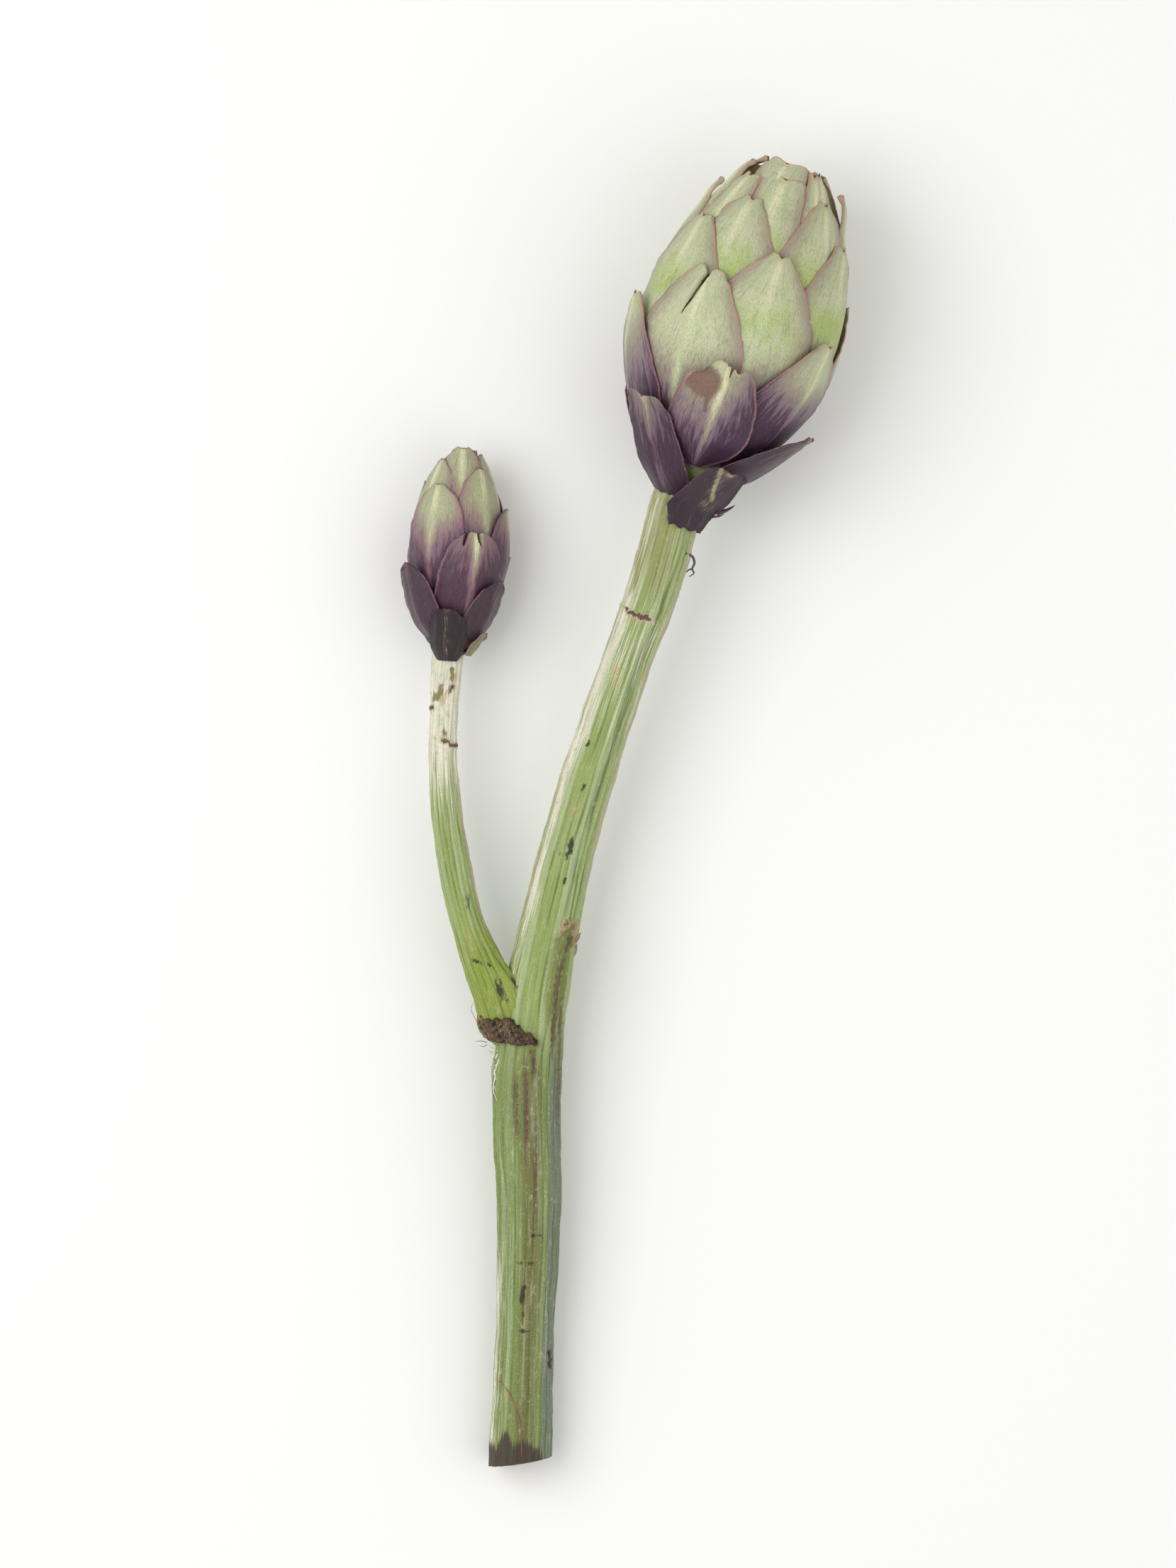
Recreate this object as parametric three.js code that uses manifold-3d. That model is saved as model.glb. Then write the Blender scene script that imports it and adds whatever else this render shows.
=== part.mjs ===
// A cut artichoke stalk that forks into a large head and a small side head, lying on a surface.
// Millimetres. X runs across the stalk, Y from its cut end to the large head, and Z up from the surface.
import * as THREE from "three";
import { mergeVertices } from "three/addons/utils/BufferGeometryUtils.js";
import Module from "manifold-3d";

const wasm = await Module();
wasm.setup();

// Driving dimensions of the stalk: each station is a point on the centreline and the radius there.
// The stalk rises evenly from its cut end to the large head, which lifts it.
const STALK_REST = { cutHeight: 9.6, slope: 0.068 };
const MAIN_STATIONS = [
  { x: -32.9, y: -201, radius: 9.7 },
  { x: -31.6, y: -165, radius: 9.1 },
  { x: -30.2, y: -123, radius: 9.8 },
  { x: -30.9, y: -88, radius: 10.7 },
  { x: -28.6, y: -60, radius: 10.0 },
  { x: -23.5, y: -33, radius: 9.2 },
  { x: -17.2, y: -6.6, radius: 8.5 },
  { x: -9.3, y: 19.8, radius: 8.1 },
  { x: -0.3, y: 46.2, radius: 7.8 },
  { x: 7.9, y: 71, radius: 8.0 },
  { x: 13.6, y: 93, radius: 8.2 },
].map((station) => ({ ...station, z: STALK_REST.cutHeight + STALK_REST.slope * (station.y + 201) }));
const BRANCH_STATIONS = [
  { x: -33.4, y: -73, z: 18.6, radius: 4.6 },
  { x: -38.0, y: -64, z: 19.9, radius: 6.8 },
  { x: -41.2, y: -54.5, z: 20.4, radius: 6.8 },
  { x: -44.6, y: -46, z: 20.4, radius: 6.1 },
  { x: -49.4, y: -33, z: 20.0, radius: 5.3 },
  { x: -53.6, y: -14, z: 19.3, radius: 5.0 },
  { x: -56.3, y: 6, z: 18.5, radius: 4.6 },
  { x: -56.9, y: 25, z: 18.0, radius: 4.4 },
  { x: -55.7, y: 46, z: 17.7, radius: 4.8 },
];
const STALK_RIDGES = 14;
const BRANCH_RIDGES = 10;
const RIDGE_DEPTH = 0.35;
const STALK_STEPS = 26;
const BRANCH_STEPS = 16;
const CUT_SLANT = 0.19;
const NODE_GAP = 0.3;

// The stub of a leaf stalk down the right of the fork, and the torn base of the leaf below the branch.
// Its push is how far the branch holds the torn base off the stalk, most where the branch grows out.
const LEAF_STUB = {
  from: -76,
  to: -31,
  azimuth: 0.75,
  halfWidth: 4.2,
  height: 1.5,
  sunk: 0.4,
  steps: 7,
  sides: 8,
};
const TORN_BASE = {
  y: -68,
  height: 6.5,
  proud: 1.8,
  sunk: 3,
  from: -2.6,
  to: 0.15,
  tilt: 0.1,
  steps: 16,
  push: { most: 4.6, azimuth: -1.5, spread: 0.7 },
};

// Heads. Along a head's own axis, firstTip and topTip are the tips of its lowest and highest bracts.
// Single bracts that grew away from the rule are given by number: turn in degrees, the rest in millimetres.
const GOLDEN_TURN = THREE.MathUtils.degToRad(137.5);
const LARGE_HEAD = {
  base: { x: 15.8, y: 99, z: 29.6 },
  lean: 20,
  rise: 3.9,
  neck: { from: -9.5, radius: 8.2 },
  widest: { along: 48, radius: 34.4 },
  below: { reach: 57, power: 1.7, fullness: 0.87 },
  above: { reach: 66, power: 1.9, fullness: 0.7 },
  bracts: 35,
  firstTip: 12,
  topTip: 109,
  crowding: 2.65,
  firstAzimuth: 40,
  firstRoot: -9,
  rootRise: 26,
  rootEase: 5,
  longest: 44,
  narrowest: 8.5,
  broadest: 20,
  crown: 0.9,
  layerSlope: 0.1,
  rootTuck: 5,
  bladeDepth: 3.4,
  tipDepth: 1.1,
  coreDepth: 5.2,
  coreTop: 99,
  curl: 0.7,
  faces: { across: 4, along: 6, round: 20, up: 12 },
  strays: {
    0: {
      turn: -4,
      tip: 14.4,
      length: 22.5,
      halfWidth: 8.8,
      lift: 3.5,
      flare: 0.5,
      lean: -3,
      tuck: 0,
      blunt: 0.5,
      root: 0.6,
      flat: 0.7,
    },
    1: { lift: 1 },
    2: {
      turn: 27,
      tip: 28,
      length: 30,
      halfWidth: 9.5,
      lift: 1.2,
      flare: 1,
      lean: -12,
      tuck: 2,
      blunt: 0.5,
      root: 0.6,
    },
    3: { turn: -26, tip: 32, length: 27, halfWidth: 15, lift: 1.2, flare: 1.5, lean: 3 },
    5: {
      turn: -2,
      tip: 46.5,
      length: 35,
      halfWidth: 14.5,
      lift: 1.6,
      lean: -2,
      tuck: 2,
      blunt: 0.42,
      root: 0.35,
    },
    7: { turn: -1, tip: 56.5, lean: 5 },
    8: { turn: -5, tip: 61.3 },
    10: { turn: -1, tip: 71.8, blunt: 0.28 },
    13: { turn: -14, tip: 82.7, lean: -1.5 },
    15: { turn: 4.5, tip: 86.5 },
    16: { turn: -16, tip: 90.6 },
    18: { turn: -21, tip: 96.4 },
    20: { turn: 6, tip: 98.2, halfWidth: 8, flare: 1, flareReach: 12 },
    21: { turn: -2, tip: 101.7 },
    23: { turn: -11, tip: 103, halfWidth: 11, blunt: 0.35 },
    24: { turn: -14, tip: 105.5, halfWidth: 7, flare: 2.5, flareReach: 14 },
    26: { turn: -22, tip: 105.4, halfWidth: 12, blunt: 0.55 },
    28: { turn: -6, tip: 106.8, halfWidth: 7, flare: 1.2, flareReach: 12 },
    29: { turn: -22, tip: 109.6, halfWidth: 8 },
    31: { tip: 110, halfWidth: 12, blunt: 0.6 },
  },
  extras: [],
};
const SMALL_HEAD = {
  base: { x: -55.1, y: 48.4, z: 17.6 },
  lean: 3.8,
  rise: -0.8,
  neck: { from: -5, radius: 5.0 },
  widest: { along: 31, radius: 16.9 },
  below: { reach: 38, power: 1.8, fullness: 0.9 },
  above: { reach: 37, power: 1.7, fullness: 0.66 },
  bracts: 24,
  firstTip: 15.2,
  topTip: 67,
  crowding: 1.5,
  firstAzimuth: -5,
  firstRoot: -3,
  rootRise: 10,
  rootEase: 5,
  longest: 29,
  narrowest: 5.6,
  broadest: 11.5,
  crown: 0.6,
  layerSlope: 0.09,
  rootTuck: 2.5,
  bladeDepth: 2.2,
  tipDepth: 0.9,
  coreDepth: 3,
  coreTop: 60,
  curl: 0.3,
  faces: { across: 4, along: 5, round: 14, up: 9 },
  strays: {
    0: { tip: 15.6, length: 16.2, halfWidth: 6.2, lift: 0.6, tuck: 0, blunt: 0.4, root: 0.75 },
    2: { turn: -20, tip: 19, lift: -0.8 },
    3: { turn: 6, tip: 26, halfWidth: 8.8, blunt: 0.28 },
    5: { turn: -24, tip: 29.2 },
    6: { lift: -0.8 },
    8: { turn: 8, tip: 39.3, blunt: 0.4 },
    10: { turn: -25, lift: -0.8 },
    11: { turn: 10, tip: 48, lift: 1 },
    13: { turn: -15, tip: 54.3, blunt: 0.26 },
    15: { lift: -0.8 },
    16: { turn: 5, tip: 60 },
    18: { tip: 62.3 },
    19: { turn: -8, tip: 64.5 },
    20: { tip: 62 },
    21: { tip: 66.2, halfWidth: 9, blunt: 0.35 },
    23: { turn: -40, tip: 62 },
  },
  extras: [
    {
      azimuth: 66,
      tip: 6.9,
      length: 8.4,
      halfWidth: 2.7,
      lift: 0.4,
      flare: 0.6,
      tuck: 0,
      blunt: 0.75,
      root: 0.6,
      flat: 1,
    },
  ],
};
const FLARE_REACH = 25;
const LOST_DETAIL = 0.06;

// What centres the whole part on its origin, seen from above.
const CENTRING = { x: 0.061, y: -0.819 };

// A mesh made from rows of points: two faces of the same grid, back to back, with a wall round their edge.
function shellGeometry(face, back) {
  const rows = face.length;
  const columns = face[0].length;
  const positions = [];
  for (const sheet of [face, back]) {
    for (const point of sheet.flat()) positions.push(point.x, point.y, point.z);
  }
  const index = [];
  const at = (sheet, row, column) => sheet * rows * columns + row * columns + column;
  const quad = (a, b, c, d) => index.push(a, b, c, a, c, d);
  for (let row = 0; row < rows - 1; row++) {
    for (let column = 0; column < columns - 1; column++) {
      const corners = [
        [row, column],
        [row, column + 1],
        [row + 1, column + 1],
        [row + 1, column],
      ];
      const [a, b, c, d] = corners.map(([r, k]) => at(0, r, k));
      const [e, f, g, h] = corners.map(([r, k]) => at(1, r, k));
      index.push(a, b, c, a, c, d);
      index.push(e, g, f, e, h, g);
    }
  }
  for (let row = 0; row < rows - 1; row++) {
    quad(at(0, row + 1, 0), at(1, row + 1, 0), at(1, row, 0), at(0, row, 0));
    const last = columns - 1;
    quad(at(0, row, last), at(1, row, last), at(1, row + 1, last), at(0, row + 1, last));
  }
  for (let column = 0; column < columns - 1; column++) {
    quad(at(0, 0, column), at(1, 0, column), at(1, 0, column + 1), at(0, 0, column + 1));
    const last = rows - 1;
    quad(at(0, last, column + 1), at(1, last, column + 1), at(1, last, column), at(0, last, column));
  }
  return indexedGeometry(positions, index);
}

// A closed tube through rings of points, each ring having the same number of them.
function tubeGeometry(rings) {
  const sides = rings[0].length;
  const positions = rings.flat().flatMap((point) => [point.x, point.y, point.z]);
  const index = [];
  for (let ring = 0; ring < rings.length - 1; ring++) {
    for (let side = 0; side < sides; side++) {
      const next = (side + 1) % sides;
      const a = ring * sides + side;
      const b = ring * sides + next;
      index.push(a, b, b + sides, a, b + sides, a + sides);
    }
  }
  for (const end of [0, rings.length - 1]) {
    const middle = new THREE.Vector3();
    rings[end].forEach((point) => middle.add(point));
    middle.divideScalar(sides);
    const hub = positions.length / 3;
    positions.push(middle.x, middle.y, middle.z);
    for (let side = 0; side < sides; side++) {
      const a = end * sides + side;
      const b = end * sides + ((side + 1) % sides);
      index.push(...(end === 0 ? [hub, b, a] : [hub, a, b]));
    }
  }
  return indexedGeometry(positions, index);
}

function indexedGeometry(positions, index) {
  const geometry = new THREE.BufferGeometry();
  geometry.setAttribute("position", new THREE.Float32BufferAttribute(positions, 3));
  geometry.setIndex(index);
  return geometry;
}

// Solids for cutting and joining, whichever way the geometry's faces were wound.
function solidOf(geometry) {
  const bare = geometry.clone();
  bare.deleteAttribute("normal");
  bare.deleteAttribute("uv");
  const merged = mergeVertices(bare, 1e-4);
  const vertProperties = new Float32Array(merged.attributes.position.array);
  const triVerts = new Uint32Array(merged.index.array);
  const solid = new wasm.Manifold(new wasm.Mesh({ numProp: 3, vertProperties, triVerts }));
  if (solid.volume() > 0) return solid;
  for (let corner = 0; corner < triVerts.length; corner += 3) {
    [triVerts[corner + 1], triVerts[corner + 2]] = [triVerts[corner + 2], triVerts[corner + 1]];
  }
  return new wasm.Manifold(new wasm.Mesh({ numProp: 3, vertProperties, triVerts }));
}

function geometryOf(solid) {
  const { vertProperties, triVerts } = solid.getMesh();
  return indexedGeometry(Array.from(vertProperties), Array.from(triVerts));
}

// The largest piece of a solid, without any hollow sealed inside it.
function wholeBody(solid) {
  const pieces = solid.decompose().filter((piece) => piece.volume() > 0);
  return pieces.reduce((best, piece) => (piece.volume() > best.volume() ? piece : best));
}

// What lies under the surface is cut away, which leaves a small flat spot wherever the part touches it.
function restOnSurface(solid) {
  const slab = new THREE.BoxGeometry(600, 600, 40).translate(0, 0, -20);
  return wholeBody(solid.subtract(solidOf(slab)));
}

const smooth = (from, to, value) => THREE.MathUtils.smoothstep(value, from, to);

// A stem's line: for a share of its length, the centre, the radius and the directions across it.
function stemLine(stations) {
  const path = new THREE.CatmullRomCurve3(
    stations.map(({ x, y, z }) => new THREE.Vector3(x, y, z)),
    false,
    "catmullrom",
  );
  const girth = new THREE.SplineCurve(stations.map(({ radius }, i) => new THREE.Vector2(i, radius)));
  return (share) => {
    const centre = path.getPoint(share);
    const forward = path.getTangent(share);
    const side = forward.clone().cross(new THREE.Vector3(0, 0, 1)).normalize();
    const up = side.clone().cross(forward);
    return { centre, forward, side, up, radius: girth.getPoint(share).y };
  };
}

// The share of a stem's length at which its line passes a given Y.
function shareAt(line, y) {
  let [low, high] = [0, 1];
  for (let halving = 0; halving < 20; halving++) {
    const middle = (low + high) / 2;
    if (line(middle).centre.y < y) low = middle;
    else high = middle;
  }
  return low;
}

// A point round a stem: azimuth 0 is on top and a quarter turn is on its right.
function roundStem({ centre, side, up }, azimuth, radius) {
  return centre
    .clone()
    .addScaledVector(side, radius * Math.sin(azimuth))
    .addScaledVector(up, radius * Math.cos(azimuth));
}

function ridgedStem(stations, ridges, steps, slant, grow) {
  const line = stemLine(stations);
  const sides = ridges * 2;
  const rings = [];
  for (let step = 0; step <= steps; step++) {
    const place = line(step / steps);
    const ring = [];
    for (let side = 0; side < sides; side++) {
      const azimuth = (side / sides) * 2 * Math.PI;
      const ridge = side % 2 ? -RIDGE_DEPTH : RIDGE_DEPTH;
      const point = roundStem(place, azimuth, place.radius + ridge / 2 + grow);
      if (step === 0) point.addScaledVector(place.forward, slant * place.radius * Math.sin(azimuth));
      ring.push(point);
    }
    rings.push(ring);
  }
  return solidOf(tubeGeometry(rings));
}

// The leaf stub is a low ridge that swells up the stalk and ends in a torn lip.
function leafStub(grow) {
  const line = stemLine(MAIN_STATIONS);
  const { from, to, azimuth, halfWidth, height, sunk, steps, sides } = LEAF_STUB;
  const [foot, lip] = [shareAt(line, from), shareAt(line, to)];
  const rings = [];
  for (let step = 0; step <= steps; step++) {
    const rise = step / steps;
    const place = line(THREE.MathUtils.lerp(foot, lip, rise));
    const swell = smooth(0, 0.55, rise);
    const ring = [];
    for (let side = 0; side < sides; side++) {
      const turn = (side / sides) * 2 * Math.PI;
      const across = (halfWidth * (0.35 + 0.65 * swell) + grow) * Math.cos(turn);
      const lift = (height * swell + grow) * Math.sin(turn);
      ring.push(roundStem(place, azimuth + across / place.radius, place.radius - sunk + lift));
    }
    rings.push(ring);
  }
  return solidOf(tubeGeometry(rings));
}

// The stalk ends a hair below each head's neck, so that the two never share a face.
function headRoom(head) {
  const size = 30;
  const room = new THREE.BoxGeometry(size, size, size).translate(0, head.neck.from - NODE_GAP + size / 2, 0);
  return solidOf(room.applyMatrix4(headPlacement(head)));
}

function stalkSolid(grow) {
  return ridgedStem(MAIN_STATIONS, STALK_RIDGES, STALK_STEPS, CUT_SLANT, grow)
    .add(ridgedStem(BRANCH_STATIONS, BRANCH_RIDGES, BRANCH_STEPS, 0, grow))
    .add(leafStub(grow))
    .subtract(headRoom(LARGE_HEAD))
    .subtract(headRoom(SMALL_HEAD));
}

// The torn leaf base is a ragged band that hugs the stalk below the branch, thicker in the middle.
function tornLeafBase() {
  const { y, height, proud, sunk, from, to, tilt, steps, push } = TORN_BASE;
  const line = stemLine(MAIN_STATIONS);
  const share = shareAt(line, y);
  const outer = [];
  const inner = [];
  for (let step = 0; step <= steps; step++) {
    const round = step / steps;
    const azimuth = THREE.MathUtils.lerp(from, to, round);
    const reach = Math.sin(Math.PI * THREE.MathUtils.clamp(round, 0.04, 0.96));
    const ragged = 0.8 * (step % 2) + 0.5 * ((step * 7) % 3);
    const faces = [outer, inner].map((rows) => rows[rows.push([]) - 1]);
    for (const level of [0, 0.5, 1]) {
      const place = line(share);
      const bulge = proud * (0.4 + 0.6 * reach) * (0.75 + 0.5 * level);
      const branchPush = push.most * Math.exp(-(((azimuth - push.azimuth) / push.spread) ** 2));
      const shift = (level - 0.5) * height * (0.55 + 0.45 * reach) + level * ragged - tilt * height * azimuth;
      for (const [row, depth] of [
        [faces[0], -bulge],
        [faces[1], sunk],
      ]) {
        const radius = place.radius + 0.6 + branchPush * (0.4 + 0.6 * level) - depth;
        row.push(roundStem(place, azimuth, radius).addScaledVector(place.forward, shift));
      }
    }
  }
  return wholeBody(solidOf(shellGeometry(outer, inner)).subtract(stalkSolid(NODE_GAP)));
}

// The head's outline turned about its axis: how far its bract tips stand from the axis at each height.
function envelope(head, along) {
  const { reach, power, fullness } = along < head.widest.along ? head.below : head.above;
  const share = Math.min(1, Math.abs(along - head.widest.along) / reach);
  return Math.max(head.neck.radius, head.widest.radius * (1 - share ** power) ** fullness);
}

// Each bract follows the last by the golden turn, and the tips crowd together towards the top.
function bractRule(head, number) {
  const order = number / head.bracts;
  const stray = head.strays[number] ?? {};
  const root = head.firstRoot + head.rootRise * (1 - Math.exp(-number / head.rootEase));
  const breadth = Math.sin(Math.PI * Math.min(1, order ** 0.75 + 0.02));
  const tip = stray.tip ?? head.topTip - (head.topTip - head.firstTip) * (1 - order) ** head.crowding;
  return {
    tip,
    length: Math.min(tip - root, head.longest),
    azimuth: head.firstAzimuth + THREE.MathUtils.radToDeg(number * GOLDEN_TURN) + (stray.turn ?? 0),
    halfWidth: THREE.MathUtils.lerp(head.narrowest, head.broadest, breadth),
    ...stray,
  };
}

// Share of the half width, down from the tip: a blunt tip, broad shoulders and a narrow root.
function bractOutline({ blunt = 0.16, root = 0.5 }, down) {
  const shoulder = 0.62;
  if (down < shoulder) return blunt + (1 - blunt) * Math.sin((Math.PI / 2) * (down / shoulder) ** 1.1);
  return 1 - (1 - root) * ((down - shoulder) / (1 - shoulder)) ** 2;
}

// A point of a bract in its head's own frame, with Y along the head's axis and Z towards azimuth 0.
// A bract bends round the head, apart from the share of its width that is flat.
function bractPoint(head, bract, across, down, depth) {
  const { lift = 0, flare = 0, flareReach = FLARE_REACH, lean = 0, tuck = head.rootTuck, flat = 0 } = bract;
  const below = bract.length * down;
  const along = bract.tip - below;
  const curl = head.curl * (1 - smooth(0, 0.22, down));
  const radius =
    envelope(head, along) -
    head.layerSlope * below +
    head.crown * (1 - across * across) +
    curl +
    lift +
    flare * (1 - smooth(0, flareReach, below)) -
    tuck * smooth(0.72, 1, down);
  const girth = Math.max(radius, 4);
  const halfWidth = bract.halfWidth * bractOutline(bract, down);
  const middle = THREE.MathUtils.degToRad(bract.azimuth) + (lean * (1 - down)) / girth;
  const azimuth = middle + across * (1 - flat) * Math.min(1.25, halfWidth / girth);
  const aside = across * flat * halfWidth;
  const notch = down === 0 ? 1.1 * Math.exp(-((across / 0.45) ** 2)) + 1.4 * across ** 4 : 0;
  const reach = Math.max(0.4, radius - depth);
  return new THREE.Vector3(
    reach * Math.sin(azimuth) + aside * Math.cos(middle),
    along - notch,
    reach * Math.cos(azimuth) - aside * Math.sin(middle),
  );
}

function bractSolid(head, bract) {
  const { across: columns, along: rows } = head.faces;
  const face = [];
  const back = [];
  for (let row = 0; row <= rows; row++) {
    const down = (row / rows) ** 1.25;
    const depth = THREE.MathUtils.lerp(head.tipDepth, head.bladeDepth, smooth(0.02, 0.3, down));
    face.push([]);
    back.push([]);
    for (let column = 0; column <= columns; column++) {
      const across = (2 * column) / columns - 1;
      face[row].push(bractPoint(head, bract, across, down, 0));
      back[row].push(bractPoint(head, bract, across, down, depth));
    }
  }
  return solidOf(shellGeometry(face, back));
}

// The core is the neck that the stalk runs into and the heart that the bracts stand out of.
function coreSolid(head) {
  const profile = [new THREE.Vector2(0, head.neck.from), new THREE.Vector2(head.neck.radius, head.neck.from)];
  const { up, round } = head.faces;
  for (let station = 0; station <= up; station++) {
    const along = (station / up) * head.coreTop;
    profile.push(new THREE.Vector2(Math.max(head.neck.radius * 0.9, envelope(head, along) - head.coreDepth), along));
  }
  profile.push(new THREE.Vector2(0, head.coreTop));
  return solidOf(new THREE.LatheGeometry(profile, round));
}

// From the head's own frame to the part's: the axis leans in plan and rises off the surface.
function headPlacement(head) {
  const turn = new THREE.Euler(
    THREE.MathUtils.degToRad(head.rise),
    0,
    -THREE.MathUtils.degToRad(head.lean),
    "ZYX",
  );
  const { x, y, z } = head.base;
  return new THREE.Matrix4().makeRotationFromEuler(turn).setPosition(x, y, z);
}

function headSolid(head) {
  const bracts = Array.from({ length: head.bracts }, (_, number) => bractRule(head, number));
  const blades = [...bracts, ...head.extras].map((bract) => bractSolid(head, bract));
  const grown = wasm.Manifold.union([coreSolid(head), ...blades]);
  return restOnSurface(grown.transform(headPlacement(head).elements).simplify(LOST_DETAIL));
}

const finishes = {
  stalk: new THREE.MeshStandardMaterial({ color: 0x93a86c, roughness: 0.75, metalness: 0 }),
  largeHead: new THREE.MeshStandardMaterial({ color: 0x93a57c, roughness: 0.6, metalness: 0 }),
  smallHead: new THREE.MeshStandardMaterial({ color: 0x6e5566, roughness: 0.55, metalness: 0 }),
  tornLeaf: new THREE.MeshStandardMaterial({ color: 0x4a3728, roughness: 0.9, metalness: 0 }),
};

function piece(name, solid, finish) {
  const mesh = new THREE.Mesh(geometryOf(solid), finish);
  mesh.name = name;
  mesh.position.set(CENTRING.x, CENTRING.y, 0);
  return mesh;
}

const artichoke = new THREE.Group();
artichoke.add(
  piece("stalk", restOnSurface(stalkSolid(0)), finishes.stalk),
  piece("torn_leaf_base", tornLeafBase(), finishes.tornLeaf),
  piece("large_head", headSolid(LARGE_HEAD), finishes.largeHead),
  piece("small_head", headSolid(SMALL_HEAD), finishes.smallHead),
);

export default artichoke;
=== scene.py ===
"""A cut artichoke stalk that forks into a large head and a small side head, lying on a pale surface."""

import math

import bmesh
import bpy
import numpy as np
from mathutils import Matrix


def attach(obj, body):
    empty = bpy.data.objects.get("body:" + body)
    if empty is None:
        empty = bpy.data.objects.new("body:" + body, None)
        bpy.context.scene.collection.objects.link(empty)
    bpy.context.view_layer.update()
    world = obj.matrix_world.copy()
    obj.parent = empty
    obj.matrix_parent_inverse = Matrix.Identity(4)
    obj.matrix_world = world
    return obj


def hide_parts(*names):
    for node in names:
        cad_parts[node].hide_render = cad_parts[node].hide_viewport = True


bl_info = {
    "name": "Forked artichoke",
    "version": (1, 0, 0),
    "blender": (4, 5, 0),
    "location": "View3D > Sidebar > Artichoke",
    "description": "Builds the stalk, the bracts and the fibres of a cut artichoke over its plain solids",
    "category": "Object",
}

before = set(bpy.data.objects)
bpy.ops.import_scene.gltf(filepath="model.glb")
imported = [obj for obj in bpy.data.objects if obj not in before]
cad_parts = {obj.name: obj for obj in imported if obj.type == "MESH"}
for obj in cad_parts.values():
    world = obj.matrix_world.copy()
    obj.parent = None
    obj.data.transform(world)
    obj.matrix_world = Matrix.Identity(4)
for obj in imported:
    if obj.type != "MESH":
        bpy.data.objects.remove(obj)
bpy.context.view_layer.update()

# Lengths are in millimetres, but for the settings, the bumps and the stage, which are in metres. X runs
# across the stalk, Y from its cut end to the large head, and Z up.
MILLIMETRE = 0.001
CENTRING = np.array([0.061, -0.819, 0.0])
SEED = 11

# Each station is a point on a centreline and the radius there. The last of each runs on into its head.
STALK_RISE = {"cut_height": 9.6, "slope": 0.068, "cut_y": -201}
MAIN_STATIONS = [
    (-32.9, -201, 9.7),
    (-31.6, -165, 9.1),
    (-30.2, -123, 9.8),
    (-30.9, -88, 10.7),
    (-28.6, -60, 10.0),
    (-23.5, -33, 9.2),
    (-17.2, -6.6, 8.5),
    (-9.3, 19.8, 8.1),
    (-0.3, 46.2, 7.8),
    (8.7, 71, 8.0),
    (14.8, 93, 8.2),
    (19.0, 106, 7.6),
]
BRANCH_STATIONS = [
    (-33.4, -73, 18.6, 4.6),
    (-38.0, -64, 19.9, 6.8),
    (-41.2, -54.5, 20.4, 6.8),
    (-44.6, -46, 20.4, 6.1),
    (-49.4, -33, 20.0, 5.3),
    (-53.6, -14, 19.3, 5.0),
    (-56.3, 6, 18.5, 4.6),
    (-56.9, 25, 18.0, 4.4),
    (-55.7, 46, 17.7, 4.8),
    (-55.0, 53, 17.6, 4.4),
]
CUT_SLANT = 0.19
LEAF_STUB = {"foot": -76, "lip": -30.9, "azimuth": 0.62, "half_width": 4.2, "height": 1.7}
TORN_BASE = {"y": -68, "height": 7.5, "from": -2.7, "to": 0.2, "tilt": 0.1}

# Grooves round the stalk, in radians from its top towards its right. Between two grooves lies a rib.
MAIN_GROOVES = [
    -2.85, -2.42, -2.0, -1.6, -1.22, -0.83, -0.44, -0.09,
    0.19, 0.47, 0.7, 0.96, 1.3, 1.65, 2.05, 2.5,
]
BRANCH_GROOVES = [-2.7, -2.1, -1.5, -1.05, -0.6, -0.25, 0.1, 0.42, 0.8, 1.3, 1.9, 2.5]

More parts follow.
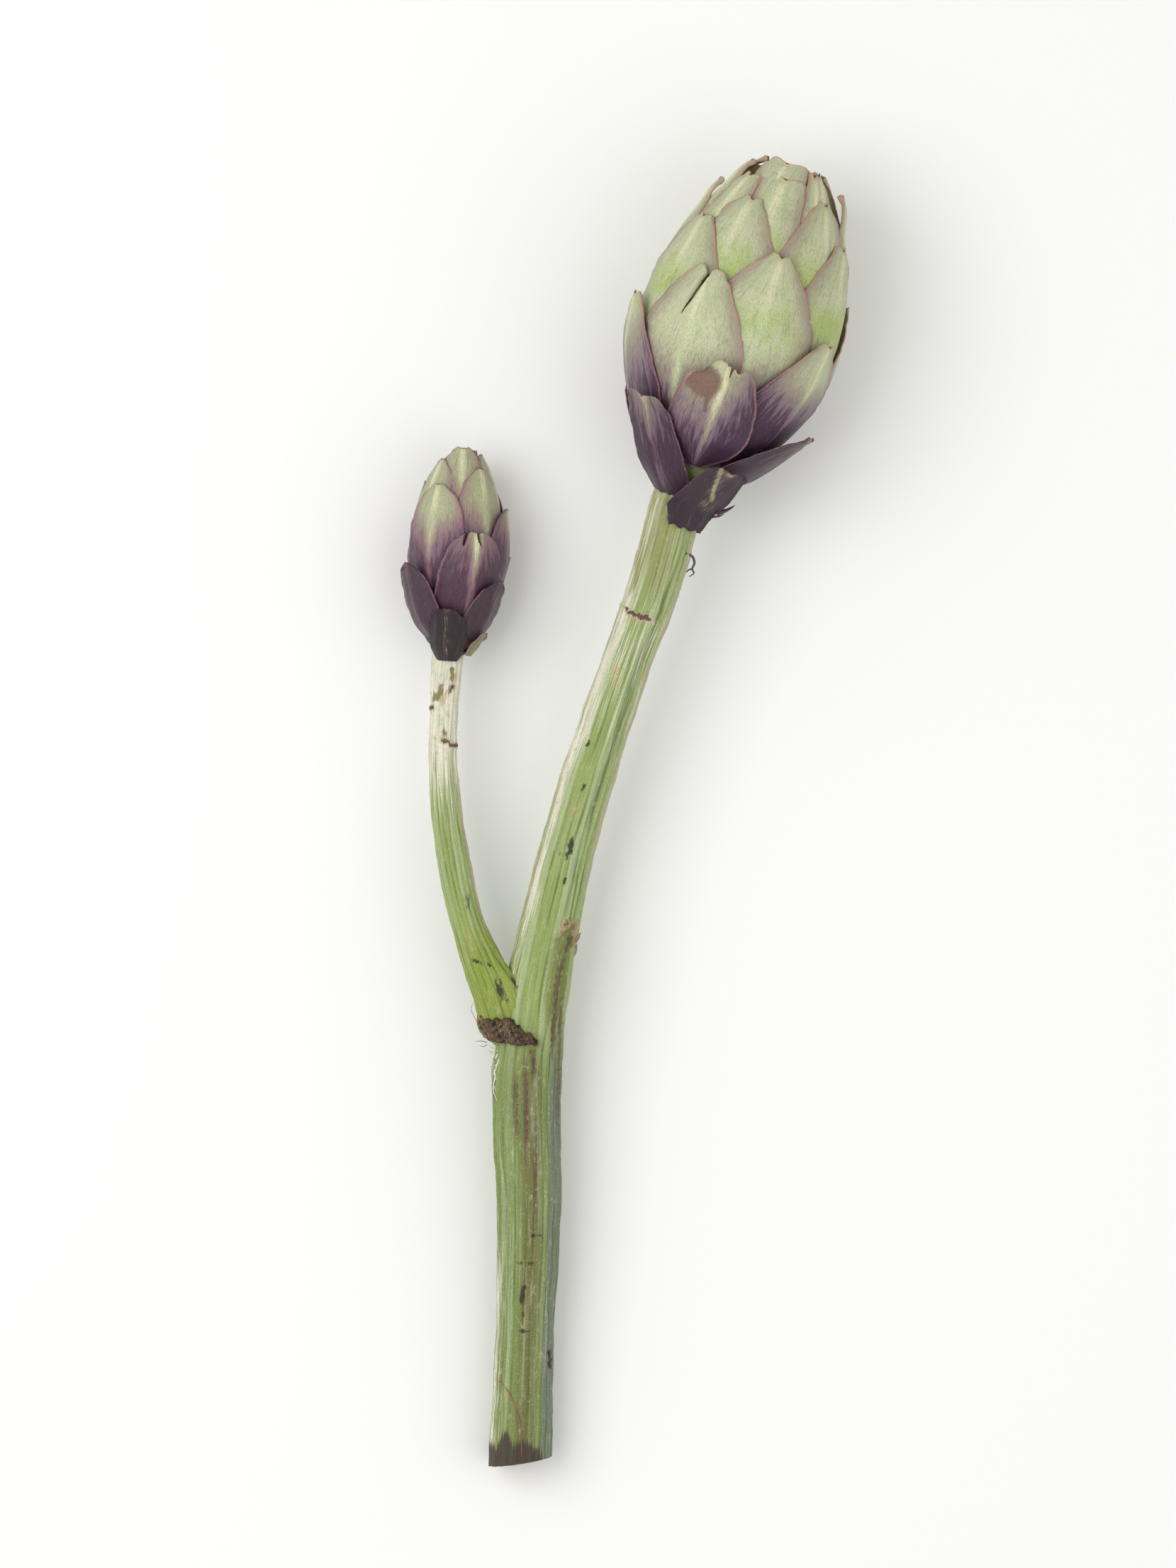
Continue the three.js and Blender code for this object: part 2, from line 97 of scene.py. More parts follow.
# Heads. Along a head's own axis, first_tip and top_tip are the tips of its lowest and highest bracts.
# Bracts that grew away from the rule are given by number: turn in degrees, lengths in millimetres and
# the rest as shares. Each split or cut has its place across the bract, and how wide and deep it is.
GOLDEN_TURN = 137.5
LARGE_HEAD = {
    "base": (15.8, 99, 29.6),
    "lean": 20,
    "rise": 3.9,
    "neck": 8.2,
    "widest": (48, 34.4),
    "below": (57, 1.7, 0.87),
    "above": (66, 1.9, 0.7),
    "bracts": 35,
    "first_tip": 12,
    "top_tip": 109,
    "crowding": 2.65,
    "first_azimuth": 40,
    "first_root": -9,
    "root_rise": 26,
    "root_ease": 5,
    "longest": 44,
    "run_down": 58,
    "narrowest": 8.5,
    "broadest": 20,
    "crown": 0.9,
    "layer_slope": 0.1,
    "tuck": 5,
    "blade_depth": 3.0,
    "rim_depth": 0.45,
    "core_depth": 5.2,
    "core_top": 99,
    "curl": 0.7,
    "notch": 1.1,
    "rib_reach": (5, 30),
    "dry_tip": 1.0,
    "swell": 1.16,
    "blunt": 0.19,
    "strays": {
        0: {
            "turn": -4, "tip": 14.4, "length": 22.5, "half_width": 8.8, "lift": 3.5, "flare": 0.5,
            "lean": -3, "tuck": 0, "blunt": 0.72, "swell": 0.8, "root": 0.72, "flat": 0.7, "run_down": 22.5,
            "dark": 0.8, "ragged_root": 0.7, "grid": (50, 50),
        },
        1: {"lift": 1, "dark": 0.8},
        2: {
            "turn": 27, "tip": 28, "length": 30, "half_width": 10.2, "lift": 1.2, "flare": 1, "lean": -12,
            "tuck": 2, "blunt": 0.74, "root": 0.5, "swell": 0.8, "run_down": 30, "purple_band": (41, 15),
            "dark": 0.32,
        },
        3: {
            "turn": -26, "tip": 32, "length": 27, "half_width": 15, "lift": 1.2, "flare": 1.5, "lean": 3,
            "run_down": 27, "purple_band": (44, 18), "dark": 0.62,
        },
        4: {"dark": 0.4},
        5: {
            "turn": -2, "tip": 46.5, "length": 35, "half_width": 13.9, "lift": 1.6, "lean": -2, "tuck": 2,
            "blunt": 0.52, "swell": 0.9, "root": 0.2, "run_down": 35, "purple_band": (47, 20),
            "purple_side": 0.3, "clear": 0.5, "dark": 0.0,
            "cuts": [(0.16, 0.05, 4.2), (0.5, 0.25, 2.6), (-1.0, 0.35, 4.0)], "grid": (56, 56),
        },
        7: {"turn": -1, "tip": 56.5, "lean": 5, "purple_shift": 3},
        8: {"turn": -5, "tip": 61.3, "purple_band": (50, 34)},
        10: {
            "turn": -1, "tip": 71.8, "blunt": 0.28, "purple_shift": 5.5, "clear": 0.5,
            "splits": [(0.5, [(0.0, -0.06), (3, -0.1), (10, -0.2), (15, -0.25), (19, -0.27)])],
            "grid": (90, 60),
        },
        12: {"turn": -14, "lift": -1.5},
        13: {"turn": -14, "tip": 82.7, "lean": -1.5},
        15: {"turn": 4.5, "tip": 86.5},
        16: {"turn": -16, "tip": 90.6},
        18: {"turn": -21, "tip": 96.4},
        20: {"turn": 6, "tip": 98.2, "half_width": 8, "flare": 1, "flare_reach": 12},
        21: {"turn": -2, "tip": 101.7},
        23: {"turn": -11, "tip": 103, "half_width": 11, "blunt": 0.35},
        24: {"turn": -14, "tip": 105.5, "half_width": 7, "flare": 2.5, "flare_reach": 14},
        26: {"turn": -22, "tip": 105.4, "half_width": 12, "blunt": 0.55},
        28: {"turn": -6, "tip": 106.8, "half_width": 7, "flare": 1.2, "flare_reach": 12},
        29: {"turn": -22, "tip": 109.6, "half_width": 8},
        31: {"tip": 110, "half_width": 12, "blunt": 0.6},
    },
    "extras": [],
    "heart": {
        "bracts": 8, "tip": 102.5, "step": 0.55, "length": 24, "half_width": 10.5, "lift": -3.2,
        "flare": -6.4,
    },
    "purple_band": (54, 28),
    "edge_purple": 0.2,
}
SMALL_HEAD = {
    "base": (-55.1, 48.4, 17.6),
    "lean": 3.8,
    "rise": -0.8,
    "neck": 5.0,
    "widest": (31, 16.9),
    "below": (38, 1.8, 0.9),
    "above": (37, 1.7, 0.66),
    "bracts": 24,
    "first_tip": 15.2,
    "top_tip": 67,
    "crowding": 1.5,
    "first_azimuth": -5,
    "first_root": -3,
    "root_rise": 10,
    "root_ease": 5,
    "longest": 29,
    "run_down": 40,
    "narrowest": 5.6,
    "broadest": 11.5,
    "crown": 0.6,
    "layer_slope": 0.09,
    "tuck": 2.5,
    "blade_depth": 2.0,
    "rim_depth": 0.4,
    "core_depth": 3,
    "core_top": 60,
    "curl": 0.3,
    "notch": 0.45,
    "rib_reach": (3, 18),
    "dry_tip": 0.55,
    "swell": 0.72,
    "blunt": 0.14,
    "strays": {
        0: {
            "tip": 15.6, "length": 16.2, "half_width": 6.3, "lift": 0.6, "tuck": 0, "blunt": 0.35,
            "root": 0.5, "swell": 0.45, "run_down": 16.2, "dark": 1.0,
        },
        1: {"dark": 0.8},
        2: {"turn": -20, "tip": 19, "lift": -1.3, "dark": 0.7},
        3: {
            "turn": 6, "tip": 25.4, "half_width": 8.2, "lift": 0.9, "blunt": 0.14, "swell": 0.58,
            "dark": 0.5, "purple_shift": -5,
        },
        4: {"dark": 0.5},
        5: {
            "turn": -15, "tip": 29.2, "half_width": 8.6, "lift": 1.1, "blunt": 0.14, "swell": 0.58,
            "dark": 0.45, "purple_shift": -5,
        },
        6: {"lift": -0.8},
        7: {"turn": -25, "lift": -0.5},
        8: {
            "turn": 8, "tip": 39.8, "blunt": 0.4, "clear": 0.6, "purple_band": (47, 27),
            "splits": [
                (0.15, [(0.0, -0.62), (2, -0.55), (5, -0.5)]),
                (0.22, [(0.0, 0.1), (2, 0.12), (4.6, 0.2)]),
            ],
            "grid": (70, 60),
        },
        10: {"turn": -75, "lift": -0.8},
        11: {"turn": 10, "tip": 48, "lift": 0.6, "blunt": 0.1},
        13: {"turn": -15, "tip": 54.3, "blunt": 0.2, "clear": 0.6, "purple_band": (46, 32)},
        15: {"lift": -0.8},
        16: {"turn": 5, "tip": 60, "clear": 0.5},
        18: {"tip": 62.3},
        19: {"turn": -8, "tip": 64.5},
        20: {"tip": 62},
        21: {"tip": 66.2, "half_width": 9, "blunt": 0.35, "purple_band": (61, 46)},
        23: {"turn": -40, "tip": 62},
    },
    "extras": [
        {
            "azimuth": 62, "tip": 9.0, "length": 7.6, "half_width": 2.9, "lift": 0.2, "flare": 0.2,
            "tuck": 0, "blunt": 0.75, "swell": 1, "root": 0.6, "flat": 1, "withered": 1.0,
        },
    ],
    "heart": {
        "bracts": 6, "tip": 61.8, "step": 0.4, "length": 15, "half_width": 5.0, "lift": -1.6, "flare": -3.0,
    },
    "purple_band": (50, 34),
    "edge_purple": 0.3,
}
FLARE_REACH = 25

# How fine the meshes are: steps along and round the stems and the cores, and across and along a bract.
MAIN_GRID = (380, 190)
BRANCH_GRID = (150, 104)
CORE_GRID = (40, 48)
TORN_GRID = (30, 170)
BRACT_GRID = (22, 36)

# Marks on the top side, seen from above: the field each darkens or lightens, how wide, how strong, its line.
# MARK_HEIGHTS says how far each kind stands out or sinks in.
STALK_MARKS = [
    ("scar", 1.0, 1.0, [(-17.1, -8.6), (-17.3, -12.0)]),
    ("scar", 0.75, 0.7, [(-17.9, -12.5), (-18.6, -14.4)]),
    ("scar", 0.68, 0.75, [(-13.0, 8.3), (-13.3, 6.7)]),
    ("scar", 0.6, 0.6, [(-20.9, -11.2), (-20.4, -13.2)]),
    ("scar", 0.75, 0.75, [(-18.8, -20.4), (-19.0, -21.9)]),
    ("tan", 0.84, 0.8, [(-14.6, 2.2), (-14.8, 1.2)]),
    ("tan", 0.98, 0.9, [(-9.8, 2.9), (-9.2, 2.4)]),
    ("tan", 1.1, 0.7, [(-18.2, 0.2), (-15.9, 0.9)]),
    ("ledge", 0.9, 1.0, [(-1.2, 64.4), (1.2, 62.2), (3.6, 61.0), (6.4, 60.4), (9.2, 58.4)]),
    ("ledge", 0.95, 1.0, [(1.6, 62.0), (3.6, 61.0), (6.4, 60.4)]),
    ("tan", 1.6, 0.6, [(-0.6, 61.6), (2.4, 59.2)]),
    ("tan", 1.1, 0.8, [(-2.6, 66.8), (-1.6, 64.4)]),
    ("tan", 1.2, 0.9, [(-3.4, 44.6), (-2.4, 42.0), (-3.0, 39.4)]),
    ("tan", 0.8, 0.8, [(5.6, 45.2), (6.2, 42.6), (5.2, 41.6)]),
    ("tan", 0.8, 0.8, [(9.8, 49.6), (10.8, 47.0), (9.6, 45.0)]),
    ("tan", 0.7, 0.7, [(11.4, 86.2), (13.2, 84.4), (14.6, 82.2)]),
    ("tan", 0.8, 0.8, [(5.4, 91.0), (4.6, 87.4), (5.2, 84.0)]),
    ("scar", 0.7, 0.7, [(-11.6, 22.4), (-11.9, 20.8)]),
    ("ledge", 0.75, 1.0, [(-57.6, 22.6), (-55.8, 22.0), (-54.4, 20.9), (-52.2, 21.0)]),
    ("ledge", 0.9, 0.9, [(-61.6, 33.7), (-60.3, 32.3)]),
    ("moss", 0.9, 1.0, [(-57.8, 40.6), (-57.5, 37.6), (-59.5, 35.3), (-60.3, 34.2)]),
    ("moss", 0.6, 1.0, [(-53.9, 44.8), (-53.9, 40.8)]),
    ("scar", 0.9, 0.9, [(-53.9, 39.8), (-54.4, 37.6)]),
    ("tan", 1.0, 0.9, [(-53.4, 44.6), (-53.2, 41.0), (-53.6, 36.0)]),
    ("moss", 1.2, 0.9, [(-57.9, 36.9), (-58.9, 35.8)]),
    ("moss", 0.6, 0.8, [(-56.4, 26.4), (-56.2, 24.2)]),
    ("tan", 1.3, 0.8, [(-55.4, 37.2), (-56.8, 34.6)]),
    ("tan", 0.84, 0.8, [(-53.2, -10.2), (-52.6, -11.6)]),
    ("tan", 0.7, 0.7, [(-56.6, -13.4), (-56.0, -15.6)]),
    ("scar", 1.2, 0.45, [(-49.4, -26.0), (-48.8, -30.0)]),
    ("tan", 0.63, 0.8, [(-49.2, -34.4), (-48.6, -38.0), (-47.7, -44.2)]),
    ("scar", 0.52, 0.9, [(-47.7, -45.7), (-46.0, -46.2), (-44.4, -46.9)]),
    ("scar", 0.45, 0.7, [(-42.9, -46.7), (-42.0, -47.6)]),
    ("scar", 0.68, 0.9, [(-40.9, -50.6), (-40.3, -52.4), (-39.3, -55.4), (-38.3, -59.6)]),
    ("scar", 1.1, 0.75, [(-38.9, -54.6), (-38.0, -57.0), (-36.9, -58.6)]),
    ("scar", 0.45, 0.8, [(-39.0, -51.6), (-38.6, -53.6)]),
    ("tan", 0.63, 0.8, [(-42.2, -56.9), (-42.6, -60.9)]),
    ("scar", 0.45, 0.7, [(-39.3, -47.4), (-36.0, -50.3), (-33.9, -54.0), (-33.7, -56.2)]),
    ("tan", 0.98, 0.8, [(-35.0, -52.6), (-34.2, -54.2)]),
    ("maroon", 1.2, 0.8, [(-29.8, -71.0), (-28.8, -76.7), (-27.9, -84.0)]),
    ("tan", 1.1, 0.9, [(-18.1, -31.4), (-19.2, -33.2), (-20.9, -37.4)]),
    ("scar", 0.75, 0.6, [(-18.2, -33.0), (-17.2, -33.2), (-19.2, -35.0)]),
    ("tan", 0.98, 0.9, [(-18.0, -31.6), (-16.4, -34.4), (-15.4, -37.6), (-15.2, -41.5)]),
    ("maroon", 1.2, 1.0, [(-17.2, -37.2), (-17.6, -40.0), (-19.3, -43.6)]),
    ("maroon", 0.85, 1.0, [
        (-17.6, -39.5), (-19.2, -43.6), (-20.3, -48.5), (-21.4, -54.2), (-22.0, -60.0), (-22.6, -67.0),
        (-22.7, -80.0),
    ]),
    ("maroon", 0.9, 0.75, [(-18.2, -47.0), (-20.2, -61.0), (-21.0, -79.0), (-21.2, -104.0)]),
    ("tan", 0.8, 0.6, [(-16.4, -46.0), (-17.8, -54.0), (-18.7, -62.0)]),
    ("maroon", 1.1, 0.75, [(-34.4, -79.0), (-34.3, -90.0), (-33.8, -104.0)]),
    ("maroon", 0.83, 1.0, [(-31.0, -76.0), (-30.9, -92.0), (-30.8, -106.0)]),
    ("maroon", 0.6, 0.8, [(-28.3, -78.0), (-28.0, -100.0), (-27.7, -131.0)]),
    ("scar", 0.5, 0.7, [(-31.0, -130.4), (-28.4, -131.2), (-26.0, -131.0)]),
    ("scar", 0.52, 0.62, [(-34.6, -139.6), (-31.8, -140.4), (-27.6, -139.8)]),
    ("scar", 1.2, 0.85, [(-32.2, -147.6), (-32.2, -151.6)]),
    ("scar", 0.52, 0.6, [(-31.9, -154.6), (-31.9, -157.0)]),
    ("scar", 0.52, 0.62, [(-33.0, -161.0), (-30.1, -161.2)]),
    ("scar", 0.9, 0.8, [(-23.6, -167.4), (-23.6, -172.4)]),
    # Pale lines along the lower stalk's ribs: painted highlights.
    ("pale", 0.5, 0.8, [(-35.2, -79.0), (-35.0, -120.0), (-35.4, -152.0), (-35.2, -180.0)]),
    ("pale", 0.5, 0.7, [(-24.6, -90.0), (-24.4, -128.0), (-24.9, -165.0), (-25.4, -190.0)]),
    ("pale", 0.45, 0.6, [(-29.4, -133.0), (-29.4, -160.0), (-29.8, -186.0)]),
]
MARK_HEIGHTS = {"ledge": 0.75, "scar": -0.22, "tan": 0.1, "maroon": -0.25, "moss": 0, "pale": 0}
# How far up the brown stain reaches at places across the cut end.
STAIN_TOPS = [
    (-44.0, -197.0), (-40.0, -198.5), (-37.4, -193.0),
    (-35.0, -198.0), (-32.0, -196.0), (-26.5, -199.5),
]

# The stage. Each light has its place, its size and its share of the main light's power.
SKY_STRENGTH = 0.65
LIGHTS = (("main light", (-0.8, 0.2, 1.25), 1.15, 1.0), ("fill light", (0.8, -0.3, 1.1), 1.4, 0.38))
VIEW_CENTRE = (-0.0118, 0.0097)
VIEW_PLANE = 0.025
SENSOR_HEIGHT = 24
FLOOR_REACH = 3


def linear(hex_colour):
    """The linear colour of an sRGB hex value."""
    shares = [int(hex_colour[i : i + 2], 16) / 255 for i in (1, 3, 5)]
    return tuple(s / 12.92 if s <= 0.04045 else ((s + 0.055) / 1.055) ** 2.4 for s in shares)


def opaque(colour):
    """The colour with full cover, as sockets hold it."""
    return (*colour, 1.0)


def smooth(start, end, value):
    """Rises softly from 0 at start to 1 at end."""
    share = np.clip((value - start) / (end - start), 0, 1)
    return share * share * (3 - 2 * share)


def lerp(start, end, share):
    """The value at a share of the way from start to end."""
    return start + (end - start) * share


def bell(value, width):
    """A soft hump of 1 where the value is 0, gone at about twice its width."""
    return np.exp(-((value / width) ** 2))


def ripple(value, wavelength, phase):
    """A wandering line between -1 and 1 that doesn't repeat in sight."""
    turn = 2 * math.pi * value / wavelength
    waves = 0.5 * np.sin(turn + phase) + 0.3 * np.sin(2.3 * turn + 1.7 * phase)
    return waves + 0.2 * np.sin(4.1 * turn + 2.9 * phase)


def line_through(stations, shares, run_on):
    """Points of the smooth curve through the stations, at shares of its length."""
    stations = np.asarray(stations, float)
    last = len(stations) - 1
    place = np.asarray(shares, float) * last
    start = np.minimum(np.floor(place).astype(int), last - 1)
    t = (place - start).reshape(-1, 1)
    if run_on:
        ends = 2 * stations[0] - stations[1], 2 * stations[-1] - stations[-2]
    else:
        ends = stations[0], stations[-1]
    padded = np.vstack([ends[0], stations, ends[1]])
    before, near, far, after = (padded[start + step] for step in range(4))
    leave = (far - before) / 2
    arrive = (after - near) / 2
    cubic = (2 * near - 2 * far + leave + arrive) * t**3
    return cubic + (3 * far - 3 * near - 2 * leave - arrive) * t**2 + leave * t + near


def near_line(spots, line):
    """Distance of each spot, seen from above, from a line of points."""
    line = np.asarray(line, float)
    nearest = np.full(len(spots), np.inf)
    for start, end in zip(line[:-1], line[1:]):
        step = end - start
        share = np.clip((spots - start) @ step / max(step @ step, 1e-9), 0, 1)
        nearest = np.minimum(nearest, np.linalg.norm(spots - start - share[:, None] * step, axis=1))
    return nearest


def near_mark(spots, width, line):
    """How much each spot, seen from above, belongs to a mark: its outline is ragged and its ends fade."""
    x, y = spots[:, 0], spots[:, 1]
    wobble = np.stack([ripple(y + 0.7 * x, 2.9, 0.4), ripple(x - 0.5 * y, 2.3, 1.9)], 1)
    strength = bell(near_line(spots + 0.5 * width * wobble, line), width)
    ends = np.asarray([line[0], line[-1]], float)
    span = np.linalg.norm(ends[1] - ends[0])
    to_end = np.linalg.norm(spots[:, None] - ends[None], axis=2).min(1)
    fade = smooth(-0.12, 0.3, to_end / span) if span > 6 else 1
    return strength * fade * (0.86 + 0.14 * ripple(x + 1.3 * y, 3.7, 0.8))


def joined(parts):
    """Several parts, each of points, four-sided faces and fields, as one."""
    faces, offset = [], 0
    for part in parts:
        faces.append(part["faces"] + offset)
        offset += len(part["points"])
    names = sorted({name for part in parts for name in part["fields"]})
    fields = {}
    for name in names:
        shape = next(p["fields"][name].shape[1:] for p in parts if name in p["fields"])
        values = [p["fields"].get(name, np.zeros((len(p["points"]), *shape))) for p in parts]
        fields[name] = np.concatenate(values)
    return {
        "points": np.concatenate([part["points"] for part in parts]),
        "faces": np.concatenate(faces),
        "fields": fields,
    }


def grid_faces(rows, columns, closed=False):
    """Faces of a grid of points. A closed one joins its last column to its first."""
    across = np.arange(columns if closed else columns - 1)
    row, column = np.meshgrid(np.arange(rows - 1), across, indexing="ij")
    beside = (column + 1) % columns
    here, ahead = row * columns, (row + 1) * columns
    corners = [here + column, here + beside, ahead + beside, ahead + column]
    return np.stack([corner.ravel() for corner in corners], 1)


def shell_faces(rows, columns):
    """Faces of two grids back to back, with a wall round their edge."""
    front = grid_faces(rows, columns)
    back = front[:, ::-1] + rows * columns
    edge = np.concatenate(
        [
            np.arange(columns),
            np.arange(1, rows) * columns + columns - 1,
            (rows - 1) * columns + np.arange(columns - 2, -1, -1),
            np.arange(rows - 2, 0, -1) * columns,
        ]
    )
    ahead = np.roll(edge, -1)
    wall = np.stack([ahead, edge, edge + rows * columns, ahead + rows * columns], 1)
    return np.concatenate([front, back, wall])


def twice(values):
    """A field of one face of a blade, for both of its faces."""
    return np.concatenate([values.reshape(-1, *values.shape[2:])] * 2)


def mesh_piece(name, part, material):
    """A new object from a part given in millimetres, in the solids' own place."""
    mesh = bpy.data.meshes.new(name)
    points = (part["points"] + CENTRING) * MILLIMETRE
    points[:, 2] = np.maximum(points[:, 2], 0)
    mesh.from_pydata(points.tolist(), [], part["faces"].tolist())
    for field, values in part["fields"].items():
        kind, entry = ("FLOAT_VECTOR", "vector") if values.ndim == 2 else ("FLOAT", "value")
        mesh.attributes.new(field, kind, "POINT").data.foreach_set(entry, values.astype(np.float32).ravel())
    work = bmesh.new()
    work.from_mesh(mesh)
    bmesh.ops.recalc_face_normals(work, faces=work.faces)
    work.to_mesh(mesh)
    work.free()
    mesh.shade_smooth()
    mesh.materials.append(material)
    piece = bpy.data.objects.new(name, mesh)
    bpy.context.scene.collection.objects.link(piece)
    return piece


def tube(points, radii, sides=5):
    """A thin round fibre through points."""
    points = np.asarray(points, float)
    radii = np.broadcast_to(np.asarray(radii, float), len(points))
    forward = np.gradient(points, axis=0)
    forward /= np.linalg.norm(forward, axis=1)[:, None]
    aside = np.cross(forward, (0.13, 0.29, 0.95))
    aside /= np.linalg.norm(aside, axis=1)[:, None]
    up = np.cross(aside, forward)
    turn = np.arange(sides) / sides * 2 * math.pi
    ring = np.cos(turn)[None, :, None] * aside[:, None] + np.sin(turn)[None, :, None] * up[:, None]
    skin = (points[:, None] + radii[:, None, None] * ring).reshape(-1, 3)
    skin = np.vstack([skin, points[0], points[-1]])
    faces = grid_faces(len(points), sides, closed=True)
    start, end = len(skin) - 2, len(skin) - 1
    side = np.arange(sides)
    beside = (side + 1) % sides
    last = (len(points) - 1) * sides
    caps = [np.stack([beside, side, np.full(sides, start), np.full(sides, start)], 1)]
    caps.append(np.stack([last + side, last + beside, np.full(sides, end), np.full(sides, end)], 1))
    return skin, faces, np.concatenate(caps)


def fill(tree, made, links):
    """Joins a node's inputs to other nodes or sets their own values."""
    for socket, value in links.items():
        if isinstance(value, bpy.types.NodeSocket):
            tree.links.new(value, made.inputs[socket])
        else:
            made.inputs[socket].default_value = value


def node(tree, kind, links=None, **settings):
    """Adds a node, sets it up, and joins or fills its inputs."""
    made = tree.nodes.new(kind)
    for name, value in settings.items():
        setattr(made, name, value)
    fill(tree, made, links or {})
    return made


def new_surface(name):
    """A new material with its tree and its empty surface shader."""
    material = bpy.data.materials.new(name)
    material.use_nodes = True
    tree = material.node_tree
    tree.nodes.clear()
    shader = node(tree, "ShaderNodeBsdfPrincipled")
    node(tree, "ShaderNodeOutputMaterial", {"Surface": shader.outputs["BSDF"]})
    return material, tree, shader


def grown_noises(tree, sizes):
    """Noises stretched along the tissue: each size is across and along it in millimetres."""
    grain = node(tree, "ShaderNodeAttribute", attribute_name="grain").outputs["Vector"]
    noises = {}
    for name, (across, along, detail) in sizes.items():
        scaled = node(
            tree,
            "ShaderNodeVectorMath",
            {0: grain, 1: (1 / across, 1 / along, 1 / across)},
            operation="MULTIPLY",
        )
        noises[name] = node(
            tree,
            "ShaderNodeTexNoise",
            {"Vector": scaled.outputs[0], "Scale": 1.0, "Detail": detail, "Roughness": 0.6},
        ).outputs["Fac"]
    return noises


def layered(tree, ground, layers, noises):
    """Lays colours over a ground. Each layer is a field, a noise with how much it frays the field, the
    values between which the layer comes in, its strength and its colour, in hex or from the settings."""
    colour = ground
    for field, noise, fray, start, end, strength, tint in layers:
        tint = linear(tint) if isinstance(tint, str) else tint
        value = 0.5
        if field:
            value = node(tree, "ShaderNodeAttribute", attribute_name=field).outputs["Fac"]
        frayed = node(tree, "ShaderNodeMath", {0: noises[noise], 1: 0.5}, operation="SUBTRACT").outputs[0]
        links = {0: frayed, 1: fray, 2: value}
        value = node(tree, "ShaderNodeMath", links, operation="MULTIPLY_ADD").outputs[0]
        share = node(
            tree,
            "ShaderNodeMapRange",
            {"Value": value, "From Min": start, "From Max": end, "To Max": strength},
            interpolation_type="SMOOTHSTEP",
        )
        mixed = node(
            tree,
            "ShaderNodeMix",
            {0: share.outputs["Result"], 6: colour, 7: opaque(tint)},
            data_type="RGBA",
        )
        colour = mixed.outputs[2]
    return colour


def grained(tree, colour, noise, darkest, lightest):
    """Darkens and lightens a colour with a noise, as fine grain in the tissue does."""
    share = node(
        tree,
        "ShaderNodeMapRange",
        {"Value": noise, "From Min": 0.3, "From Max": 0.7, "To Min": darkest, "To Max": lightest},
    )
    mixed = node(
        tree,
        "ShaderNodeMix",
        {0: 1.0, 6: colour, 7: share.outputs["Result"]},
        data_type="RGBA",
        blend_type="MULTIPLY",
    )
    return mixed.outputs[2]


def bumped(tree, heights):
    """Bumps laid one over another: each is a height and how deep it is in metres."""
    normal = None
    for height, depth in heights:
        links = {"Height": height, "Distance": depth, "Strength": 1.0}
        if normal:
            links["Normal"] = normal
        normal = node(tree, "ShaderNodeBump", links).outputs["Normal"]
    return normal


def colour_setting(name, description, hex_colour):
    """A colour that the user can change."""
    return bpy.props.FloatVectorProperty(
        name=name, description=description, subtype="COLOR", size=3, default=linear(hex_colour)
    )


def share_setting(name, description, share):
    """A share between 0 and 1 that the user can change."""
    return bpy.props.FloatProperty(
        name=name, description=description, default=share, min=0, max=1, subtype="FACTOR"
    )


def relief_setting(name, description, height):
    """A small height or depth that the user can change."""
    return bpy.props.FloatProperty(
        name=name, description=description, default=height, min=0, max=0.002, precision=5, unit="LENGTH"
    )


class StalkSettings(bpy.types.PropertyGroup):
    """Sizes and colours of the stalk."""

    groove_depth: relief_setting("Groove depth", "How deep the grooves between the ribs are", 0.00042)
    green: colour_setting("Green", "Colour of the ribs", "#94A65C")
    pale_green: colour_setting("Pale green", "Colour of the paler ribs", "#AAB984")
    wool: colour_setting("Wool", "Colour of the woolly down", "#E9E3D1")
    stain: colour_setting("Stain", "Colour of the browned cut end", "#463A32")


class BractSettings(bpy.types.PropertyGroup):
    """Sizes and colours of the large head's bracts."""

    gloss: share_setting("Gloss", "How much the wax shines", 0.22)
    wax: share_setting("Wax", "How much of a clear wax lies over the skin", 0.05)
    midrib: relief_setting("Midrib height", "How far a bract's midrib stands out near its tip", 0.0004)
    green: colour_setting("Green", "Colour near the tips", "#C4CAA2")
    bright: colour_setting("Bright green", "Colour lower down on the upper bracts", "#A7BC60")
    blush: colour_setting("First blush", "Colour where the green turns", "#A39A84")
    purple: colour_setting("Purple", "Colour towards the base", "#7C6374")
    deep: colour_setting("Deep purple", "Colour of the lowest part", "#432C40")
    dark: colour_setting("Dark", "Colour of the lowest bracts", "#382C33")
    rim: colour_setting("Rim", "Colour of the dry rims", "#BC9A80")


class YoungBractSettings(bpy.types.PropertyGroup):
    """Sizes and colours of the side head's bracts."""

    gloss: share_setting("Gloss", "How much the wax shines", 0.3)
    wax: share_setting("Wax", "How much of a clear wax lies over the skin", 0.3)
    midrib: relief_setting("Midrib height", "How far a bract's midrib stands out near its tip", 0.0003)
    green: colour_setting("Green", "Colour near the tips", "#B0B48C")
    bright: colour_setting("Bright green", "Colour lower down on the upper bracts", "#A4A373")
    blush: colour_setting("First blush", "Colour where the green turns", "#9C8A7A")
    purple: colour_setting("Purple", "Colour towards the base", "#7A5466")
    deep: colour_setting("Deep purple", "Colour of the lowest part", "#44293B")
    dark: colour_setting("Dark", "Colour of the lowest bracts", "#281E21")
    rim: colour_setting("Rim", "Colour of the dry rims", "#94707A")


